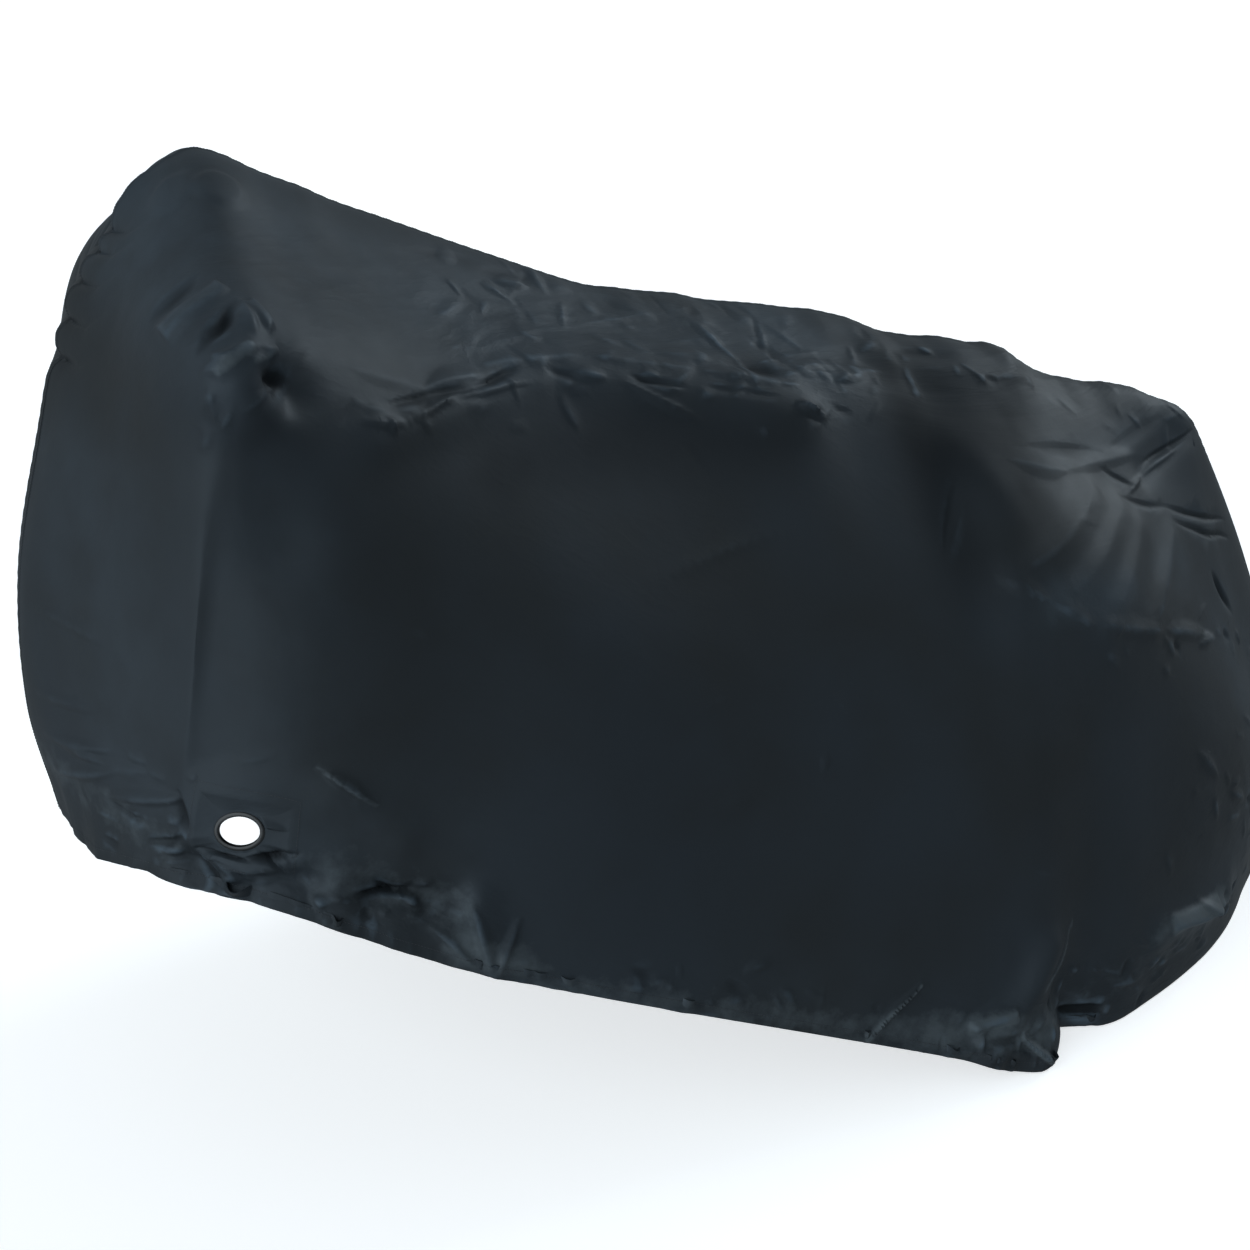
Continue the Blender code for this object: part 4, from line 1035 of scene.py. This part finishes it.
def row_along(side, distance, from_hem):
    """Points on the cloth at a distance from the hem or, when not from_hem, from the top seam."""
    up = folded_side(side)[4]
    columns = np.arange(len(up))
    goal = np.full(len(columns), distance) if from_hem else up[:, -1] - distance
    j = np.array([np.interp(goal[k], up[k], np.arange(up.shape[1])) for k in columns])
    return on_cloth(side, columns.astype(float), j, PROUD)


def row_up(side, distance, rear):
    """Points on the cloth at a distance from the front or rear seam, from the hem up."""
    along = folded_side(side)[3]
    rows = np.arange(along.shape[1] - 2)
    i = np.array([np.interp(along[-1, k] - distance if rear else distance, along[:, k],
                            np.arange(along.shape[0])) for k in rows])
    return on_cloth(side, i, rows.astype(float), PROUD)


# ------------------------------------------------------------------ materials

SKY_COLOUR = (0.84, 0.94, 1.0, 1.0)
BACKDROP_COLOUR = (0.97, 0.98, 0.99, 1.0)
SCUFF_COLOUR = (0.022, 0.024, 0.027, 1)
FIBRE_COLOUR = (0.035, 0.040, 0.047, 1)


class Wire:
    """A socket of a look's nodes, so that sums on sockets are written as Python expressions."""

    def __init__(self, look, socket):
        self.look = look
        self.socket = socket

    def maths(self, operation, first, second):
        return self.look.add("ShaderNodeMath", {"operation": operation}, {0: first, 1: second})

    def __add__(self, other):
        return self.maths("ADD", self, other)

    __radd__ = __add__

    def __sub__(self, other):
        return self.maths("SUBTRACT", self, other)

    def __rsub__(self, other):
        return self.maths("SUBTRACT", other, self)

    def __mul__(self, other):
        return self.maths("MULTIPLY", self, other)

    __rmul__ = __mul__

    def __pow__(self, other):
        return self.maths("POWER", self, other)


class Nodes:
    """A node tree, and the one way in which nodes are added to it."""

    def __init__(self, tree):
        self.tree = tree

    def add(self, kind, settings=None, inputs=None, output=0):
        """A node of a kind: its settings first, then its inputs as values or wires."""
        node = self.tree.nodes.new(kind)
        for name, value in (settings or {}).items():
            setattr(node, name, value)
        self.feed(node, inputs or {})
        return Wire(self, node.outputs[output])

    def feed(self, node, inputs):
        for name, value in inputs.items():
            if isinstance(value, Wire):
                self.tree.links.new(value.socket, node.inputs[name])
            else:
                node.inputs[name].default_value = value

    def blend(self, factor, first, second):
        """One colour where factor is 0 and the other where it is 1."""
        return self.add("ShaderNodeMix", {"data_type": "RGBA"},
                        {"Factor": factor, 6: first, 7: second}, 2)

    def place(self):
        """Where a point is on its own object."""
        return self.add("ShaderNodeTexCoord", output=3)

    def mark(self, name):
        """One of the marks that a mesh has at its points."""
        return self.add("ShaderNodeAttribute", {"attribute_name": name}, output=2)

    def cloud(self, place, scale, detail, roughness=0.5):
        """Soft noise from 0 to 1."""
        return self.add("ShaderNodeTexNoise", {}, {"Vector": place, "Scale": scale,
                                                   "Detail": detail, "Roughness": roughness})

    def wave(self, place, direction, scale):
        """Even stripes across one direction."""
        return self.add("ShaderNodeTexWave", {"bands_direction": direction},
                        {"Vector": place, "Scale": scale})

    def bump(self, height, distance, strength):
        """A surface normal that follows a height."""
        return self.add("ShaderNodeBump", {}, {"Height": height, "Distance": distance,
                                               "Strength": strength})

    def span(self, value, low, high, to_low=0.0, to_high=1.0):
        """A value taken from one span to another, and held at its ends."""
        return self.add("ShaderNodeMapRange", {}, {"Value": value, "From Min": low,
                        "From Max": high, "To Min": to_low, "To Max": to_high})


class Look(Nodes):
    """A material and the nodes that feed its one Principled shader."""

    def __init__(self, name):
        material = bpy.data.materials.new(name)
        material.use_nodes = True
        super().__init__(material.node_tree)

    def finish(self, **inputs):
        shader = self.tree.nodes["Principled BSDF"]
        self.feed(shader, {name.replace("_", " "): value for name, value in inputs.items()})


def opaque(colour, share=1.0):
    """A colour as a node takes it, at full opacity."""
    return (*(share * part for part in colour), 1)


def shared(recipe):
    """The material that a recipe makes at its first use, named after it."""
    name = recipe.__name__ + "_look"

    def material(settings):
        if name not in bpy.data.materials:
            recipe(Look(name), settings)
        return bpy.data.materials[name]

    return material


@shared
def coated_cloth(look, settings):
    """Thin nylon with a dull coating: fine crinkle and faint weave, with light and shade painted into
    its colour: bluish glints on the crests, highlights, sheen, and shade in the creases.
    """
    place = look.place()
    run = look.add("ShaderNodeUVMap", {"uv_map": "cloth"})
    ridge, creased, pale, bloom, sunk = (look.mark(name) for name in
                                         ("ridge", "creased", "pale", "bloom", "sunk"))
    # Colour: base, then painted sheen, painted highlights, painted shade in the creases and painted
    # glints on the crests over it.
    base = look.blend(look.span(look.cloud(place, 4.0, 3.0), 0.35, 0.65),
                      opaque(settings.cloth_dark), opaque(settings.cloth_light))
    # Painted sheen: a lighter bluish colour over the listed patches.
    sheen_share = bloom * look.span(look.cloud(place, 9.0, 4.0, 0.6), 0.3, 0.65, 0.25, 1.0)
    base = look.blend(sheen_share, base, opaque(settings.cloth_faded))
    # Painted highlight: the listed pale patches and plates, broken up by noise.
    lightened = look.span(pale * 1.6 + look.cloud(place, 38.0, 5.0, 0.65), 0.95, 1.45)
    base = look.blend(lightened, base, opaque(settings.cloth_pale))
    # Painted shade: the creases and the listed shade patches darkened nearly to black.
    base = look.blend(sunk * 0.85, base, opaque(settings.cloth_sunk))
    # Painted glints: the crests of the creases lightened to a pale blue, most where the cloth is
    # crumpled.
    crest_glint = look.span(ridge, 0.55, 0.85) * look.span(look.cloud(place, 30.0, 3.0), 0.3, 0.6) \
        * (0.25 + 0.75 * creased)
    colour = look.blend(crest_glint, base, opaque(settings.cloth_worn))

    # Surface: small pleats drawn out along the cloth, crinkle and weave.
    drawn = look.add("ShaderNodeMapping", inputs={"Vector": run, "Scale": (0.55, 1.0, 1.0)})
    pleats = 1 - look.span(look.cloud(drawn, 32.0, 3.0, 0.55), 0.5, 0.72) \
        - look.span(look.cloud(drawn, 32.0, 3.0, 0.55), 0.5, 0.28)
    crinkle = look.cloud(place, 160.0, 3.0, 0.6)
    weave = look.wave(run, "X", 330.0) + look.wave(run, "Y", 330.0)
    height = pleats * pleats * (0.00006 + 0.0003 * creased) + crinkle * 0.0001 + weave * 0.00001
    shine = 0.50 + 0.10 * look.cloud(place, 25.0, 3.0) - 0.06 * crest_glint + 0.25 * sunk
    look.finish(Base_Color=colour, Roughness=shine, Normal=look.bump(height, 1.0, 1.0),
                Specular_IOR_Level=0.23, Specular_Tint=(0.80, 0.90, 1.0, 1.0))


@shared
def moulded_plastic(look, settings):
    """Black moulded plastic with a fine grain and rubbed edges."""
    place = look.place()
    grain = look.cloud(place, 900.0, 2.0)
    scuff = look.span(look.cloud(place, 120.0, 4.0, 0.7), 0.55, 0.75)
    colour = look.blend(scuff * 0.5, opaque(settings.ring_colour), SCUFF_COLOUR)
    look.finish(Base_Color=colour, Roughness=0.34 + 0.2 * scuff,
                Normal=look.bump(grain, 0.0002, 0.4))


@shared
def thread(look, settings):
    """Twisted polyester thread."""
    fibre = look.cloud(look.place(), 1500.0, 2.0)
    colour = look.blend(fibre, opaque(settings.thread_colour), FIBRE_COLOUR)
    look.finish(Base_Color=colour, Roughness=0.6 + 0.15 * fibre,
                Normal=look.bump(fibre, 0.0003, 0.6))


@shared
def pale_floor(look, settings):
    """A matte pale studio floor."""
    drift = look.cloud(look.place(), 0.6, 2.0)
    colour = look.blend(drift, opaque(settings.floor_colour), opaque(settings.floor_colour, 0.97))
    look.finish(Base_Color=colour, Roughness=0.85 + 0.1 * drift, Specular_IOR_Level=0.1,
                Emission_Color=colour, Emission_Strength=settings.floor_glow)


def soft_sky(settings):
    """Even light from overhead that dies away towards the ground, before a pale backdrop."""
    world = bpy.data.worlds.new("soft_sky")
    world.use_nodes = True
    nodes = Nodes(world.node_tree)
    way = nodes.add("ShaderNodeTexCoord", output=0)
    rise = nodes.add("ShaderNodeSeparateXYZ", inputs={0: way}, output=2)
    strength = nodes.span(rise, -0.1, 0.9, settings.sky_low, settings.sky_high)
    light = nodes.add("ShaderNodeBackground", inputs={"Color": SKY_COLOUR, "Strength": strength})
    seen = nodes.add("ShaderNodeBackground", inputs={"Color": BACKDROP_COLOUR, "Strength": 1.0})
    camera = nodes.add("ShaderNodeLightPath", output=0)
    mixed = nodes.add("ShaderNodeMixShader", inputs={0: camera, 1: light, 2: seen})
    nodes.feed(world.node_tree.nodes["World Output"], {"Surface": mixed})
    return world


# ------------------------------------------------------------------ settings and operators

FLOOR_HALF, FLOOR_LEVEL = 60.0, -0.0012
# The lights: the setting that each one's strength comes from, its spread and its turn in degrees.
LAMPS = (("key", 24, (-15, 60, 0)), ("fill", 80, (80, 0, -63)))
CAMERA_PLACE = (-1.2511, -2.4424, 1.5802)
CAMERA_TURN = (69, 0.0, -23.7)


def turn_of(degrees):
    """A turn given in degrees about x, y and z."""
    return Euler([math.radians(angle) for angle in degrees])


def colour_setting(name, description, default):
    return bpy.props.FloatVectorProperty(name=name, description=description, subtype="COLOR",
                                         size=3, min=0.0, max=1.0, default=default)


class CoverSettings(bpy.types.PropertyGroup):
    """Sizes and colours of the cover."""

    cloth: bpy.props.FloatProperty(
        name="Cloth", description="Thickness of a panel's cloth", default=CLOTH,
        min=0.0003, max=0.003, subtype="DISTANCE", unit="LENGTH")
    stitch: bpy.props.FloatProperty(
        name="Stitch", description="Length from one stitch to the next", default=0.0042,
        min=0.002, max=0.01, subtype="DISTANCE", unit="LENGTH")
    thread: bpy.props.FloatProperty(
        name="Thread", description="Thickness of the sewing thread", default=0.0008,
        min=0.0003, max=0.002, subtype="DISTANCE", unit="LENGTH")
    cloth_dark: colour_setting("Dark cloth", "Cloth where it is darkest", (0.0165, 0.0190, 0.0208))
    cloth_light: colour_setting("Light cloth", "Cloth where it is lightest", (0.0190, 0.0240, 0.0295))
    # Painted highlight on the pale patches and plates.
    cloth_pale: colour_setting("Pale cloth", "Cloth where its coating is rubbed", (0.057, 0.069, 0.077))
    # Painted bluish sheen on the listed patches.
    cloth_faded: colour_setting("Faded cloth", "Cloth where sun has faded it", (0.033, 0.043, 0.053))
    # Painted shade in the creases and on the listed shade patches.
    cloth_sunk: colour_setting("Creases", "Cloth down in its deep creases", (0.005, 0.006, 0.007))
    # Painted glint along the crests of the creases.
    cloth_worn: colour_setting("Ridges", "Cloth along the tops of its creases", (0.058, 0.080, 0.102))
    ring_colour: colour_setting("Eyelets", "Moulded plastic of the eyelets", (0.008, 0.009, 0.010))
    thread_colour: colour_setting("Thread", "Colour of the sewing thread", (0.018, 0.022, 0.027))


class StageSettings(bpy.types.PropertyGroup):
    """Light and floor of the stage."""

    floor_colour: colour_setting("Floor", "Colour of the floor", (0.80, 0.81, 0.82))
    floor_glow: bpy.props.FloatProperty(
        name="Floor glow", description="Light that the floor gives off by itself", default=0.80,
        min=0.0, max=2.0)
    key: bpy.props.FloatProperty(
        name="Key light", description="Strength of the large light behind", default=1.0,
        min=0.0, max=20.0)
    fill: bpy.props.FloatProperty(
        name="Fill light", description="Strength of the light from the front left", default=2.65,
        min=0.0, max=20.0)
    sky_high: bpy.props.FloatProperty(
        name="Sky above", description="Strength of the soft light from overhead", default=0.32,
        min=0.0, max=5.0)
    sky_low: bpy.props.FloatProperty(
        name="Sky below", description="Strength of the soft light near the ground", default=0.31,
        min=0.0, max=5.0)


class COVER_OT_panels(bpy.types.Operator):
    """Make the two side panels of the cover"""

    bl_idname = "cover.panels"
    bl_label = "Panels"

    def execute(self, context):
        settings = context.scene.cover
        for side in SIDES:
            piece = panel_piece(side, settings)
            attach(piece, "root")
            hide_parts(WORDS[side] + "_side_panel")
        return {"FINISHED"}


class COVER_OT_lock_strips(bpy.types.Operator):
    """Make the doubled strips and the eyelets that a lock goes through"""

    bl_idname = "cover.lock_strips"
    bl_label = "Lock strips"

    def execute(self, context):
        settings = context.scene.cover
        for side in SIDES:
            word = WORDS[side]
            ring = ring_piece(side, settings)
            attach(ring, "root")
            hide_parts(word + "_eyelet")
            strip = strip_piece(side, settings)
            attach(strip, "root")
            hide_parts(word + "_lock_patch")
        return {"FINISHED"}


class COVER_OT_stitches(bpy.types.Operator):
    """Sew the seam, the hems and the lock strips"""

    bl_idname = "cover.stitches"
    bl_label = "Stitches"

    def execute(self, context):
        settings = context.scene.cover
        rows = {"seam_stitches": [], "near_hem_stitches": [], "far_hem_stitches": [],
                "near_strip_stitches": [], "far_strip_stitches": []}
        for side in SIDES:
            word = WORDS[side]
            rows["seam_stitches"] += [row_up(side, SEAM_ALLOWANCE, False),
                                      row_up(side, SEAM_ALLOWANCE, True),
                                      row_along(side, SEAM_ALLOWANCE, False)]
            rows[word + "_hem_stitches"] = [row_along(side, HEM_DEPTH - HEM_ALLOWANCE, True)]
            loop = rectangle(side, STRIP_LAP - STRIP_SEWN)
            rows[word + "_strip_stitches"].append(np.concatenate((loop, loop[:1])))
        for name, lines in rows.items():
            piece = stitches(name, lines, settings)
            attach(piece, "root")
        return {"FINISHED"}


class COVER_OT_stage(bpy.types.Operator):
    """Set up the floor, the light and the camera"""

    bl_idname = "cover.stage"
    bl_label = "Stage"

    def execute(self, context):
        scene, settings = context.scene, context.scene.cover_stage
        mesh = bpy.data.meshes.new("floor")
        corners = ((-1, -1), (1, -1), (1, 1), (-1, 1))
        mesh.from_pydata([(x * FLOOR_HALF, y * FLOOR_HALF, FLOOR_LEVEL) for x, y in corners], [],
                         [(0, 1, 2, 3)])
        mesh.materials.append(pale_floor(settings))
        floor = linked("floor", mesh)
        floor.visible_diffuse = floor.visible_glossy = False

        scene.world = soft_sky(settings)

        for name, spread, turn in LAMPS:
            light = bpy.data.lights.new(name, "SUN")
            light.energy = getattr(settings, name)
            light.angle = math.radians(spread)
            light.color = SKY_COLOUR[:3]
            linked(name, light).rotation_euler = turn_of(turn)

        lens = bpy.data.cameras.new("camera")
        lens.lens, lens.sensor_width = 57.6, 36.0
        lens.clip_end = 200.0
        camera = linked("camera", lens)
        camera.location = CAMERA_PLACE
        camera.rotation_euler = turn_of(CAMERA_TURN)
        scene.camera = camera
        scene.view_settings.view_transform = "Standard"
        return {"FINISHED"}


class COVER_PT_panel(bpy.types.Panel):
    """The cover's sizes, colours and making, in the sidebar"""

    bl_label = "Bicycle cover"
    bl_idname = "COVER_PT_panel"
    bl_space_type = "VIEW_3D"
    bl_region_type = "UI"
    bl_category = "Cover"

    def draw(self, context):
        for group in (context.scene.cover, context.scene.cover_stage):
            box = self.layout.box()
            for name in group.__annotations__:
                box.prop(group, name)
        for operator in OPERATORS:
            self.layout.operator(operator.bl_idname)


OPERATORS = (COVER_OT_stage, COVER_OT_panels, COVER_OT_lock_strips, COVER_OT_stitches)
CLASSES = (CoverSettings, StageSettings) + OPERATORS + (COVER_PT_panel,)


def register():
    for made in CLASSES:
        bpy.utils.register_class(made)
    bpy.types.Scene.cover = bpy.props.PointerProperty(type=CoverSettings)
    bpy.types.Scene.cover_stage = bpy.props.PointerProperty(type=StageSettings)


def unregister():
    del bpy.types.Scene.cover
    del bpy.types.Scene.cover_stage
    for made in reversed(CLASSES):
        bpy.utils.unregister_class(made)


def main():
    """Register the classes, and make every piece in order."""
    register()
    for operator in OPERATORS:
        group, name = operator.bl_idname.split(".")
        getattr(getattr(bpy.ops, group), name)()


if __name__ == "__main__":
    main()
